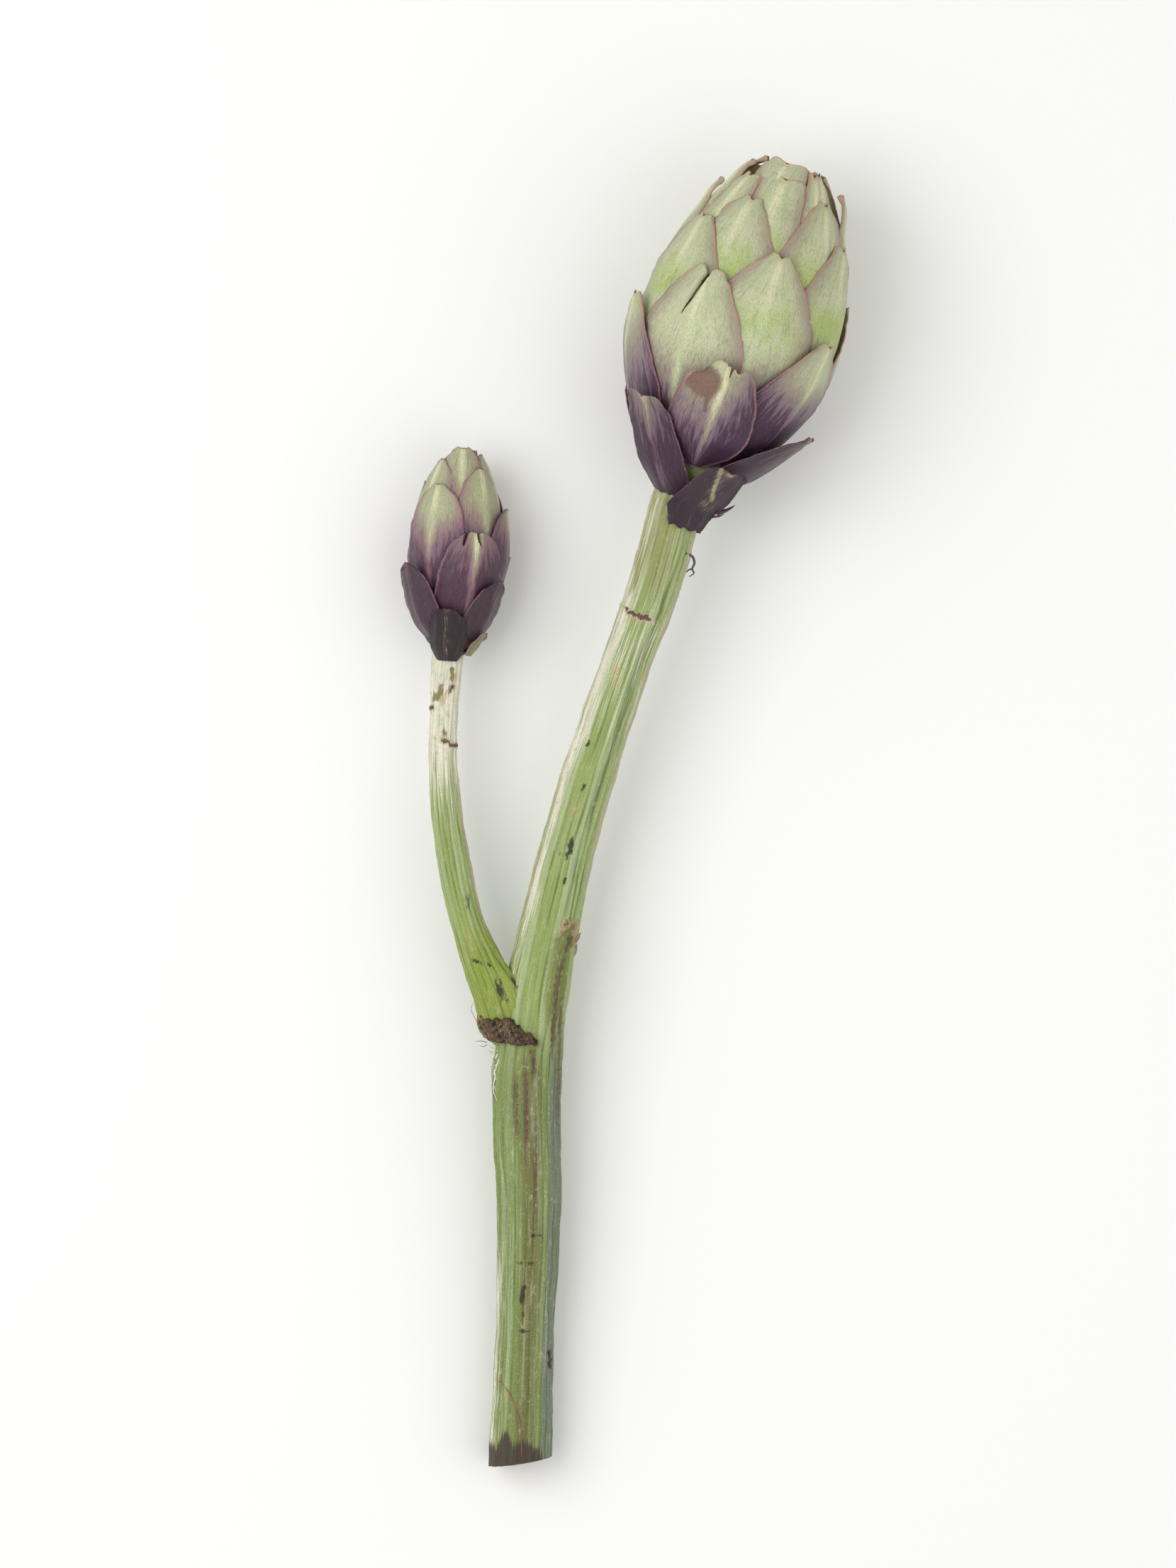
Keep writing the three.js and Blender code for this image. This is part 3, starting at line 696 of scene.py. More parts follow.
class StageSettings(bpy.types.PropertyGroup):
    """The surface, the lights and the camera."""

    floor: colour_setting("Surface", "Colour of the surface", "#F4F4F2")
    key_power: bpy.props.FloatProperty(
        name="Main light", description="Power of the large soft light", default=10.5, min=0, unit="POWER"
    )
    view_height: bpy.props.FloatProperty(
        name="View height",
        description="Real height of what the camera sees",
        default=0.4866,
        min=0.1,
        unit="LENGTH",
    )
    camera_height: bpy.props.FloatProperty(
        name="Camera height", description="How high the camera hangs", default=5.0, min=0.5, unit="LENGTH"
    )


def stem_frame(stations, steps):
    """Centre, directions and radius at steps along a stem. Stations give x, y, z and radius."""
    shares = np.linspace(0, 1, steps)
    stations = np.asarray(stations, float)
    centre = line_through(stations[:, :3], shares, run_on=True)
    radius = line_through(stations[:, 3:], shares, run_on=False)[:, 0]
    forward = np.gradient(centre, axis=0)
    forward /= np.linalg.norm(forward, axis=1)[:, None]
    side = np.cross(forward, (0, 0, 1))
    side /= np.linalg.norm(side, axis=1)[:, None]
    up = np.cross(side, forward)
    run = np.concatenate([[0], np.cumsum(np.linalg.norm(np.diff(centre, axis=0), axis=1))])
    return {"centre": centre, "forward": forward, "side": side, "up": up, "radius": radius, "run": run}


def main_stations():
    """The main stalk's stations with their heights, on one even slope up from the cut end."""
    foot, slope, cut_y = (STALK_RISE[key] for key in ("cut_height", "slope", "cut_y"))
    return [(x, y, foot + slope * (y - cut_y), radius) for x, y, radius in MAIN_STATIONS]


def ribs(azimuth, run, radius, grooves, rng):
    """Height of the ribs over the plain stem, each point's depth in a groove, and each rib's own tone."""
    depth = np.zeros_like(azimuth)
    nearest = np.full_like(azimuth, 9.0)
    tones = rng.uniform(0, 1, len(grooves))
    tone = np.full_like(azimuth, tones[-1])
    for number, place in enumerate(grooves):
        wander = place + 0.045 * ripple(run, 95, rng.uniform(0, 6))
        gap = (azimuth - wander) * radius
        strength = 0.62 + 0.38 * ripple(run, 60, rng.uniform(0, 6))
        dip = bell(gap, 0.42) * strength
        depth = np.maximum(depth, dip)
        nearest = np.minimum(nearest, np.abs(gap))
        before = tones[number - 1]
        tone += (tones[number] - before) * smooth(-0.4, 0.4, gap)
    fine = np.cos(azimuth * radius * 5.2 + 1.6 * ripple(run, 50, 0.7) + 2.2 * np.sin(3 * azimuth))
    height = 0.3 * smooth(0.2, 1.8, nearest) + 0.055 * fine
    return height, np.maximum(depth, 0.4 * smooth(0.45, 1, -fine)), tone


def stem_part(stations, steps, sides, grooves, groove_depth, slant, rng):
    """A ribbed stem as rings of points, with the fields that its finish reads."""
    line = stem_frame(stations, steps)
    azimuth = np.linspace(-math.pi, math.pi, sides, endpoint=False)[None, :] * np.ones((steps, 1))
    run = line["run"][:, None] * np.ones((1, sides))
    radius = line["radius"][:, None] * np.ones((1, sides))
    height, dip, tone = ribs(azimuth, run, radius, grooves, rng)
    swell = 0.22 * ripple(run, 70, 1.0 + 0 * azimuth) + 0.16 * ripple(run + 9 * np.sin(azimuth), 23, 2.0)
    reach = radius + height - 0.14 - groove_depth * dip + swell * smooth(0, 6, run)
    part = {"line": line, "azimuth": azimuth, "run": run, "reach": reach, "dip": dip, "tone": tone}
    part["slant"] = slant * np.exp(-run / 4.0)
    return part


def stem_points(part):
    """The points of a stem's rings, after its relief is settled."""
    line = part["line"]
    aside = (part["reach"] * np.sin(part["azimuth"]))[..., None] * line["side"][:, None]
    above = (part["reach"] * np.cos(part["azimuth"]))[..., None] * line["up"][:, None]
    tilt = part["slant"] * part["reach"] * np.sin(part["azimuth"])
    return line["centre"][:, None] + aside + above + tilt[..., None] * line["forward"][:, None]


def raise_marks(part):
    """Lifts the ledges and sinks the scars a little, so that light catches them."""
    spots = stem_points(part).reshape(-1, 3)[:, :2] + CENTRING[:2]
    shape = part["reach"].shape
    on_top = smooth(-0.15, 0.25, np.cos(part["azimuth"]))
    for field, width, strength, line in STALK_MARKS:
        there = near_mark(spots, width, line).reshape(shape)
        part["reach"] = part["reach"] + MARK_HEIGHTS[field] * strength * there * on_top


def stem_fields(part, points):
    """The tissue's own coordinates, for grain that follows it, and its ribs."""
    radius = part["line"]["radius"][:, None]
    grain = np.stack(
        [radius * np.sin(part["azimuth"]), part["run"], radius * np.cos(part["azimuth"])],
        -1,
    )
    flat = {"grain": grain.reshape(-1, 3), "groove": part["dip"].ravel(), "tone": part["tone"].ravel()}
    spots = points.reshape(-1, 3)[:, :2] + CENTRING[:2]
    on_top = smooth(-0.15, 0.25, np.cos(part["azimuth"])).ravel()
    for field in MARK_HEIGHTS:
        flat[field] = np.zeros(len(spots))
    for field, width, strength, line in STALK_MARKS:
        there = strength * near_mark(spots, width, line) * on_top
        flat[field] = np.maximum(flat[field], there)
    return flat


def cut_end(part, points, height):
    """The slanted face of a cut stem: rings from the rim to the middle, with its pith a little sunk."""
    rim = points[0]
    middle = rim.mean(0)
    shares = np.array([1.0, 0.97, 0.9, 0.8, 0.62, 0.42, 0.22, 0.06, 0.004])
    forward = part["line"]["forward"][0]
    sunk = height * smooth(1.0, 0.85, shares) * (0.6 + 0.4 * np.cos(shares * 9))
    rings = middle + shares[:, None, None] * (rim - middle)[None] + sunk[:, None, None] * forward
    count = rim.shape[0]
    rows = len(shares)
    skin = rings.reshape(-1, 3)
    return {
        "points": skin,
        "faces": grid_faces(rows, count, closed=True),
        "fields": {
            "grain": skin * np.array([1, 0.2, 1]),
            "cut": np.repeat(1.2 - shares, count),
            "groove": np.zeros(len(skin)),
        },
    }


def main_stem(groove_depth, rng):
    """The main stalk with its leaf stub and its cut end."""
    part = stem_part(main_stations(), *MAIN_GRID, MAIN_GROOVES, groove_depth, CUT_SLANT, rng)
    y = part["line"]["centre"][:, 1][:, None]
    radius = part["line"]["radius"][:, None]
    azimuth = part["azimuth"]
    stub = LEAF_STUB
    gap = (azimuth - stub["azimuth"]) * radius
    swell = smooth(stub["foot"], stub["foot"] + 24, y)
    width = stub["half_width"] * (0.4 + 0.6 * swell)
    dome = np.sqrt(np.clip(1 - (gap / width) ** 2, 0, 1))
    lip = stub["lip"] - 1.5 * np.abs(gap)
    standing = 1 - smooth(lip - 0.8, lip + 0.8, y)
    ragged = lip + 0.5 * ripple(gap, 1.7, 0.8)
    raised = 0.9 * bell(y - ragged + 0.9, 0.75) * np.sqrt(dome)
    part["reach"] = part["reach"] + stub["height"] * swell * dome * standing + raised
    seam = bell((azimuth - 0.98) * radius, 0.5) * smooth(-95, -60, y) * (1 - smooth(-40, -34, y))
    part["reach"] = part["reach"] - 0.7 * seam
    furrow = bell(azimuth - 0.6 + 0.03 * ripple(y, 31, 0.2), 0.12)
    furrow = furrow * smooth(-14, 8, y) * (1 - smooth(66, 88, y))
    part["reach"] = part["reach"] - 0.3 * furrow
    part["dip"] = np.maximum(part["dip"], furrow)
    raise_marks(part)
    points = stem_points(part)
    fields = stem_fields(part, points)
    ones = np.ones_like(azimuth)
    fields["stub"] = (dome * swell * standing * ones).ravel()
    lower = 1 - smooth(-90, -50, y)
    left = bell(azimuth + 0.98, 0.33) * smooth(-72, -20, y)
    outer = bell(azimuth + 1.5, 0.2) * smooth(-66, -40, y)
    right = bell(azimuth - 1.38, 0.3) * smooth(-34, -10, y)
    cork = smooth(54, 72, y + 0.35 * gap + 3.5 * ripple(azimuth * radius + 0.2 * y, 6, 0.5))
    neck = 0.4 * smooth(-10, 60, y) * (1 - 0.6 * cork)
    # Pale bloom low on the stalk's left side, partly painted light on the side the main light falls on.
    frost_and_painted_light = 0.62 * bell(azimuth + 1.25, 0.38) * (1 - smooth(-150, -105, y))
    fields["wool"] = np.clip(0.95 * left * (1 - 0.7 * cork) + neck + frost_and_painted_light, 0, 1).ravel()
    fields["cork"] = (cork * (1 - 0.5 * smooth(0.2, 0.7, azimuth))).ravel()
    fields["olive"] = (lower * bell(azimuth - 0.12, 0.46)).ravel()
    fields["husk"] = (np.maximum(right, outer) * ones).ravel()
    fields["lip"] = (raised / 0.7 * ones).ravel()
    # Bluish grey bloom low on the stalk's right side, partly painted shade on the side away from the main
    # light.
    fields["bloom"] = (lower * smooth(0.52, 0.85, azimuth) * (1 - smooth(1.9, 2.4, azimuth))).ravel()
    fields["lower"] = (lower * ones).ravel()
    tops = np.array(STAIN_TOPS)
    spots = points.reshape(-1, 3) + CENTRING
    edge = np.interp(spots[:, 0], tops[:, 0], tops[:, 1]) + 1.2
    fade = 1 - smooth(-27.5, -24.5, spots[:, 0])
    fade = np.where(np.cos(azimuth.ravel()) > 0, fade, 1)
    fields["stain"] = (1 - smooth(edge - 2.5, edge + 3.5, spots[:, 1])) * fade
    skin = {"points": points.reshape(-1, 3), "faces": grid_faces(*MAIN_GRID, closed=True), "fields": fields}
    return joined([skin, cut_end(part, points, 0.5)])


def branch_stem(groove_depth, rng):
    """The branch to the side head."""
    part = stem_part(BRANCH_STATIONS, *BRANCH_GRID, BRANCH_GROOVES, groove_depth * 0.75, 0.0, rng)
    height = part["line"]["centre"][:, 1][:, None]
    collar = bell(part["azimuth"] - 0.85, 0.5) * bell(height + 56, 9)
    part["reach"] = part["reach"] + 3.3 * collar
    raise_marks(part)
    points = stem_points(part)
    fields = stem_fields(part, points)
    azimuth = part["azimuth"]
    y = part["line"]["centre"][:, 1][:, None]
    fields["wool"] = (1.12 * smooth(-14, 32, y) * np.ones_like(azimuth)).ravel()
    bright = (1 - smooth(-58, -12, y)) * (0.75 + 0.25 * smooth(-0.9, 0.9, azimuth))
    fields["bright"] = bright.ravel()
    fields["husk"] = (bell(azimuth - 1.4, 0.35) * smooth(-50, -30, y)).ravel()
    faces = grid_faces(*BRANCH_GRID, closed=True)
    return {"points": points.reshape(-1, 3), "faces": faces, "fields": fields}


def stalk_finish(settings):
    """Fresh ribbed stalk under a thin wool of down: soft light, little gloss, dry scars, grooves darkened
    with painted shade, painted highlights along the lower ribs, and low down a pale bloom with painted light
    on the left and a bluish bloom with painted shade on the right.
    """
    material, tree, shader = new_surface("artichoke stalk, fresh and downy")
    noises = grown_noises(
        tree,
        {"streak": (0.5, 22, 4), "band": (1.6, 60, 2), "mottle": (1.6, 3.2, 4), "grit": (0.28, 0.45, 3)},
    )
    ground = node(
        tree,
        "ShaderNodeMix",
        {
            0: node(tree, "ShaderNodeAttribute", attribute_name="tone").outputs["Fac"],
            6: opaque(settings.green),
            7: opaque(settings.pale_green),
        },
        data_type="RGBA",
    ).outputs[2]
    colour = layered(
        tree,
        ground,
        [
            ("lower", "mottle", 0.5, 0.1, 1.0, 0.75, "#7A8A4A"),
            (None, "streak", 3.2, 0.55, 1.2, 0.4, "#74863F"),
            (None, "band", 3.0, 0.55, 1.1, 0.35, "#BCC69C"),
            ("olive", "streak", 1.2, 0.2, 1.0, 0.8, "#6F6A3A"),
            ("lower", "band", 2.2, 1.05, 1.5, 0.5, "#A3AE80"),
            ("cork", "mottle", 2.4, 0.4, 1.5, 0.6, "#A8986A"),
            ("cork", "streak", 3.0, 1.0, 1.5, 0.5, "#68743A"),
            ("bright", "mottle", 0.3, 0.1, 0.8, 0.85, "#8D9C3A"),
            ("stub", "streak", 0.6, 0.1, 0.8, 0.8, "#717C34"),
            # Bluish bloom and painted shade low on the right side.
            ("bloom", "streak", 1.2, 0.2, 1.0, 0.85, "#767D6E"),
            # Grooves between the ribs darkened: painted shade.
            ("groove", "streak", 0.9, 0.15, 0.95, 0.7, "#52642C"),
            # Pale lines on the lower stalk: painted highlights along the ribs.
            ("pale", "streak", 1.4, 0.3, 1.0, 0.7, "#BFC6A8"),
            ("husk", "mottle", 1.4, 0.15, 0.85, 0.85, "#C0B599"),
            ("wool", "streak", 2.4, 0.2, 1.0, 0.88, settings.wool),
            ("wool", "mottle", 3.0, 1.0, 1.7, 0.4, "#9AA778"),
            ("cork", "grit", 3.6, 1.25, 1.8, 0.6, "#7C5F42"),
            ("maroon", "streak", 1.5, 0.12, 0.8, 0.82, "#5E423A"),
            ("tan", "mottle", 1.8, 0.25, 0.85, 0.75, "#BFA67A"),
            ("lip", "grit", 1.4, 0.3, 0.95, 0.85, "#B08E76"),
            ("moss", "mottle", 1.4, 0.12, 0.55, 0.9, "#7A7238"),
            ("ledge", "mottle", 1.0, 0.06, 0.3, 0.7, "#CFC6A4"),
            ("ledge", "mottle", 1.2, 0.3, 0.62, 0.94, "#64453A"),
            ("lower", "grit", 3.4, 1.4, 1.8, 0.6, "#D5DACB"),
            ("stain", "streak", 2.0, 0.25, 0.9, 0.94, settings.stain),
            ("scar", "mottle", 1.4, 0.2, 0.66, 0.92, "#352A22"),
        ],
        noises,
    )
    colour = grained(tree, colour, noises["streak"], 0.79, 1.17)
    colour = grained(tree, colour, noises["grit"], 0.82, 1.16)
    cut = layered(
        tree,
        opaque(linear("#4A3A30")),
        [
            ("cut", "mottle", 0.3, 0.3, 0.42, 0.8, "#A79A74"),
            ("cut", "mottle", 0.5, 0.6, 0.9, 0.9, "#D3CDAE"),
            (None, "grit", 2.0, 0.7, 1.2, 0.5, "#7C6A50"),
        ],
        noises,
    )
    is_cut = node(
        tree,
        "ShaderNodeMapRange",
        {
            "Value": node(tree, "ShaderNodeAttribute", attribute_name="cut").outputs["Fac"],
            "From Min": 0.1,
            "From Max": 0.2,
        },
    ).outputs["Result"]
    whole = node(tree, "ShaderNodeMix", {0: is_cut, 6: colour, 7: cut}, data_type="RGBA").outputs[2]
    normal = bumped(tree, [(noises["streak"], 0.00022), (noises["grit"], 0.00014)])
    looks = {"Base Color": whole, "Roughness": 0.62, "Specular IOR Level": 0.35, "Normal": normal}
    fill(tree, shader, looks)
    return material


class ARTICHOKE_OT_stalk(bpy.types.Operator):
    """Builds the ribbed stalk, its branch, the leaf stub and the cut end"""

    bl_idname = "artichoke.stalk"
    bl_label = "Stalk"

    def execute(self, context):
        settings = context.scene.artichoke_stalk
        rng = np.random.default_rng(SEED)
        groove_depth = settings.groove_depth / MILLIMETRE
        part = joined([main_stem(groove_depth, rng), branch_stem(groove_depth, rng)])
        piece = mesh_piece("ribbed_stalk", part, stalk_finish(settings))
        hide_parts("stalk")
        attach(piece, "root")
        return {"FINISHED"}


def torn_base_part():
    """The ragged band of a torn leaf: two faces of torn tissue that hug the stalk below the branch."""
    line = stem_frame(main_stations(), 2000)
    at = int(np.argmin(np.abs(line["centre"][:, 1] - TORN_BASE["y"])))
    centre, forward, side, up = (line[key][at] for key in ("centre", "forward", "side", "up"))
    radius = line["radius"][at]
    rows, columns = TORN_GRID
    start, end = TORN_BASE["from"], TORN_BASE["to"]
    level, azimuth = np.meshgrid(np.linspace(0, 1, rows), np.linspace(start, end, columns), indexing="ij")
    around = (azimuth - start) / (end - start)
    round_stalk = azimuth * radius
    fat = np.sin(math.pi * np.clip(around, 0.04, 0.96))
    push = 4.6 * bell(azimuth + 1.5, 0.7)
    crumple = 0.55 * ripple(round_stalk + 3 * level, 5.1, 0.4)
    crumple = crumple + 0.35 * ripple(round_stalk - 6 * level, 2.1, 2.2)
    crown = 0.6 + 0.8 * np.sin(math.pi * np.clip(level, 0.05, 1)) ** 0.7
    bulge = 1.9 * (0.4 + 0.6 * fat) * crown + crumple * 0.7
    ragged = 1.3 * ripple(round_stalk, 7.5, 1.1) + 0.3 * ripple(round_stalk, 1.9, 0.3)
    height = TORN_BASE["height"] * (0.6 + 0.4 * fat) * (1 - 0.6 * smooth(0.78, 1, around))
    shift = (level - 0.5) * height + smooth(0.5, 1, level) * ragged
    shift -= TORN_BASE["tilt"] * TORN_BASE["height"] * azimuth
    shift -= 1.4 * smooth(0.75, 1, around)
    shift += (1 - smooth(0, 0.5, level)) * (0.3 * ragged)
    sheets = []
    for inwards in (0.0, 1.0):
        reach = radius + 0.6 + push * (0.4 + 0.6 * level) + lerp(bulge, -2.6, inwards)
        sheets.append(
            centre
            + (reach * np.sin(azimuth))[..., None] * side
            + (reach * np.cos(azimuth))[..., None] * up
            + shift[..., None] * forward
        )
    points = np.concatenate([sheet.reshape(-1, 3) for sheet in sheets])
    grain = np.stack([twice(round_stalk), twice(level * 7), np.repeat([0.0, 5.0], rows * columns)], -1)
    fields = {
        "grain": grain,
        # Where the crumpled tissue sinks in; darkened nearly black there as painted shade.
        "hollow_shade": twice(0.5 - crumple),
        "ear": twice(1 - smooth(0.4, 0.6, around)),
        "end": twice(smooth(0.78, 0.95, around)),
    }
    return {"points": points, "faces": shell_faces(rows, columns), "fields": fields}


def torn_finish():
    """Dead leaf tissue, torn by hand and dried: dull, fibrous, nearly black in its cracks, with painted
    shade in its hollows and small painted glints.
    """
    material, tree, shader = new_surface("torn leaf base, dried")
    noises = grown_noises(
        tree,
        {"mottle": (1.1, 1.3, 5), "patch": (2.8, 2.6, 3), "fibre": (0.35, 2.4, 4), "grit": (0.25, 0.3, 3)},
    )
    colour = layered(
        tree,
        opaque(linear("#594432")),
        [
            (None, "patch", 2.4, 0.4, 0.8, 0.7, "#6E5A3A"),
            ("ear", "mottle", 1.2, 0.2, 0.9, 0.9, "#94804F"),
            ("end", "mottle", 0.9, 0.3, 0.9, 0.7, "#63402F"),
            (None, "fibre", 3.0, 0.6, 1.1, 0.85, "#B89C6C"),
            # Nearly black in the hollows of the crumple: painted shade.
            ("hollow_shade", "mottle", 1.8, 0.5, 1.0, 0.94, "#1B1411"),
            (None, "mottle", 3.0, 0.62, 1.05, 0.85, "#1F1714"),
            # Small pale specks: painted glints.
            (None, "grit", 2.8, 0.95, 1.3, 0.7, "#CFC6B4"),
        ],
        noises,
    )
    normal = bumped(tree, [(noises["fibre"], 0.0004), (noises["mottle"], 0.0006), (noises["grit"], 0.0002)])
    looks = {"Base Color": colour, "Roughness": 0.7, "Specular IOR Level": 0.45, "Normal": normal}
    fill(tree, shader, looks)
    return material


class ARTICHOKE_OT_torn_leaf_base(bpy.types.Operator):
    """Builds the ragged base of the leaf that was torn off below the branch"""

    bl_idname = "artichoke.torn_leaf_base"
    bl_label = "Torn leaf base"

    def execute(self, context):
        piece = mesh_piece("torn_leaf", torn_base_part(), torn_finish())
        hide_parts("torn_leaf_base")
        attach(piece, "root")
        return {"FINISHED"}


def envelope(head, along):
    """How far a head's bract tips stand from its axis at each height."""
    widest, radius = head["widest"]
    outlines = []
    for reach, power, fullness in (head["below"], head["above"]):
        share = np.minimum(1, np.abs(along - widest) / reach)
        outlines.append(radius * (1 - share**power) ** fullness)
    return np.maximum(head["neck"], np.where(along < widest, *outlines))


def bract_rule(head, number):
    """Each bract follows the last by the golden turn, and the tips crowd together towards the top."""
    order = number / head["bracts"]
    stray = head["strays"].get(number, {})
    root = head["first_root"] + head["root_rise"] * (1 - math.exp(-number / head["root_ease"]))
    breadth = math.sin(math.pi * min(1, order**0.75 + 0.02))
    span = head["top_tip"] - head["first_tip"]
    tip = stray.get("tip", head["top_tip"] - span * (1 - order) ** head["crowding"])
    return {
        "number": number,
        "tip": tip,
        "length": min(tip - root, head["longest"]),
        "run_down": min(tip - root, head["run_down"]),
        "azimuth": head["first_azimuth"] + number * GOLDEN_TURN + stray.get("turn", 0),
        "half_width": lerp(head["narrowest"], head["broadest"], breadth),
        "swell": head["swell"],
        "blunt": head["blunt"],
        **stray,
    }


def heart_rules(head):
    """The young bracts that fold together over the heart and close the top of the head."""
    heart = head["heart"]
    return [
        {
            "azimuth": 50 + GOLDEN_TURN * number,
            "tip": heart["tip"] + heart["step"] * number,
            "length": heart["length"],
            "half_width": heart["half_width"] * (1 - 0.04 * number),
            "lift": heart["lift"] - 0.16 * number,
            "flare": heart["flare"],
            "flare_reach": 0.5 * heart["length"],
            "swell": 1.0,
            "blunt": 0.3,
            "clear": 1.0,
        }
        for number in range(heart["bracts"])
    ]


def bract_outline(bract, below, run_down):
    """Share of the half width at a depth below the tip: a blunt tip, broad shoulders and a narrow root."""
    blunt = bract["blunt"]
    root = bract.get("root", 0.5)
    shoulder = 0.62 * bract["length"]
    rise = np.clip(below / shoulder, 0, 1) ** bract["swell"]
    fall = np.clip(below - shoulder, 0, None) / (run_down - shoulder)
    upper = blunt + (1 - blunt) * np.sin(math.pi / 2 * rise)
    return np.where(below < shoulder, upper, 1 - (1 - root) * fall**2)


def placed(head, points):
    """From a head's own frame, with Y along its axis, to the part's."""
    rise, lean = math.radians(head["rise"]), -math.radians(head["lean"])
    tilt = np.array([[1, 0, 0], [0, math.cos(rise), -math.sin(rise)], [0, math.sin(rise), math.cos(rise)]])
    turn = np.array([[math.cos(lean), -math.sin(lean), 0], [math.sin(lean), math.cos(lean), 0], [0, 0, 1]])
    return points @ (turn @ tilt).T + np.array(head["base"])


def bract_part(head, bract, midrib, rng):
    """One bract as a closed blade with a thin rim, a midrib, a notched tip and lengthwise folds."""
    columns, rows = bract.get("grid", BRACT_GRID)
    spread = np.linspace(-1, 1, columns + 1)
    across = 0.55 * spread + 0.45 * np.sin(math.pi / 2 * spread)
    down, across = np.meshgrid(np.linspace(0, 1, rows + 1) ** 1.4, across, indexing="ij")
    phase = rng.uniform(0, 6, 6)
    run_down = max(bract["length"], bract.get("run_down", 0))
    below = run_down * down
    half = bract["half_width"] * bract_outline(bract, below, run_down)
    waver = 1 + np.abs(across) ** 3 * 0.022 * ripple(below, 9, phase[0] + 2 * np.sign(across))
    half = half * waver
    beside = across * half
    slope = np.abs(np.gradient(half[:, 0]) / np.maximum(np.gradient(below[:, 0]), 1e-6))[:, None]
    lateral = (1 - np.abs(across)) * half / np.sqrt(1 + slope**2)
    edge = np.minimum(lateral, below + 0.4)
    fall = 1 - smooth(0, 4.5, below)
    notch = (head["notch"] * bell(across, 0.45) + 1.4 * across**4) * fall
    for place, width, depth in bract.get("cuts", []):
        notch = notch + depth * bell(across - place, width) * (1 - smooth(0, 2.2 * depth, below))
    notch = notch + 0.18 * ripple(across * half, 1.7, phase[1]) * fall
    root_tear = bract.get("ragged_root", 0) * smooth(0.8, 1, down) * ripple(beside, 4.2, phase[2])
    along = bract["tip"] - below
    curl = head["curl"] * (1 - smooth(0, 0.22, down))
    flare = bract.get("flare", 0) * (1 - smooth(0, bract.get("flare_reach", FLARE_REACH), below))
    tuck = bract.get("tuck", head["tuck"]) * smooth(0.72, 1, down)
    radius = envelope(head, along) - head["layer_slope"] * below + head["crown"] * (1 - across**2)
    radius = radius + curl + bract.get("lift", 0) + flare - tuck
    girth = np.maximum(radius, 4)
    split = np.zeros_like(below)
    for width, line in bract.get("splits", []):
        depths, places = np.array(line).T
        gap = beside - np.interp(below, depths, places) * half
        open_share = 1 - smooth(0.3, 1, below / depths[-1])
        torn = bell(gap, 0.3 + width * open_share) * (1 - smooth(0.85, 1, below / depths[-1]))
        radius = radius - 2.2 * torn * open_share - 0.5 * torn
        notch = notch + 5 * width * bell(gap, 2 * width) * (1 - smooth(0, 6, below))
        split = np.maximum(split, torn)
    folds = 0.13 * np.cos(across * 9 + phase[3] + 0.6 * ripple(below, 30, phase[4]))
    folds = folds * smooth(0.03, 0.3, down)
    ridge = midrib * bell(beside, 1.0) * (1 - smooth(8, 26, below))
    flutter = 0.35 * ripple(along, 13, phase[5] + np.sign(across)) * np.abs(across) ** 4
    lip = 0.22 * bell(edge, 0.9)
    radius = radius + folds + ridge + flutter + lip
    middle = math.radians(bract["azimuth"]) + bract.get("lean", 0) * (1 - down) / girth
    flat = bract.get("flat", 0)
    azimuth = middle + across * (1 - flat) * np.minimum(1.25, half / girth)
    aside = across * flat * half
    body = head["blade_depth"] - head["rim_depth"]
    depth = head["rim_depth"] + body * smooth(0.5, 6, edge) * smooth(0.02, 0.3, down)
    sheets = []
    for reach in (np.maximum(0.4, radius), np.maximum(0.4, radius - depth)):
        sheets.append(
            np.stack(
                [
                    reach * np.sin(azimuth) + aside * np.cos(middle),
                    along - notch - root_tear,
                    reach * np.cos(azimuth) - aside * np.sin(middle),
                ],
                -1,
            ).reshape(-1, 3)
        )
    purple_from, purple_to = bract.get("purple_band", head["purple_band"])
    purple = (purple_from - along - bract.get("purple_shift", 0)) / (purple_from - purple_to)
    purple = purple + bract.get("purple_side", 0) * across
    purple = np.clip(purple, 0, 1.25) + head["edge_purple"] * np.exp(-edge / 2.2) * smooth(3, 14, below)
    midline = bract.get("clear", 0.34) * bell(beside, 1.5) * smooth(0, 0.4, purple)
    purple = (purple + 0.26 * across**2) * (1 - bract.get("withered", 0)) - midline
    seed = rng.uniform(0, 200)
    tone = rng.uniform(0, 1)
    layers = {
        "grain": np.stack([across * bract["half_width"] + seed, below, np.zeros_like(below)], -1),
        "edge": edge + 0.8 * bract.get("dark", 0),
        "purple": purple,
        "dark": np.full_like(below, bract.get("dark", 0.0)),
        "bright": smooth(6, 30, below) * smooth(46, 68, along) * (1 - 0.6 * across**4),
        # Mauve tint near the edges, and painted shade where the blade curves away on both flanks.
        "flank": np.abs(across) ** 2.4 * smooth(1, 8, below) + 0.5 * np.exp(-edge / 1.5),
        "rib": bell(beside, 0.9 + 0.05 * below) * (1 - smooth(*head["rib_reach"], below)),
        "halo": head["dry_tip"] * bell(beside, 2.4) * (1 - smooth(0.4, 4.2, below)),
        "spine": bell(beside, 1.2) * (1 - smooth(0.1, 1.2, below)) * (0.5 + 0.5 * head["dry_tip"]),
        "crack": split,
        "number": np.full_like(below, bract.get("number", -1)),
        "withered": np.full_like(below, bract.get("withered", 0.0)),
        "tone": np.full_like(below, tone),
    }
    fields = {name: twice(values) for name, values in layers.items()}
    fields["inner"] = np.repeat([0.0, 1.0], down.size)
    return {
        "points": placed(head, np.concatenate(sheets)),
        "faces": shell_faces(rows + 1, columns + 1),
        "fields": fields,
    }


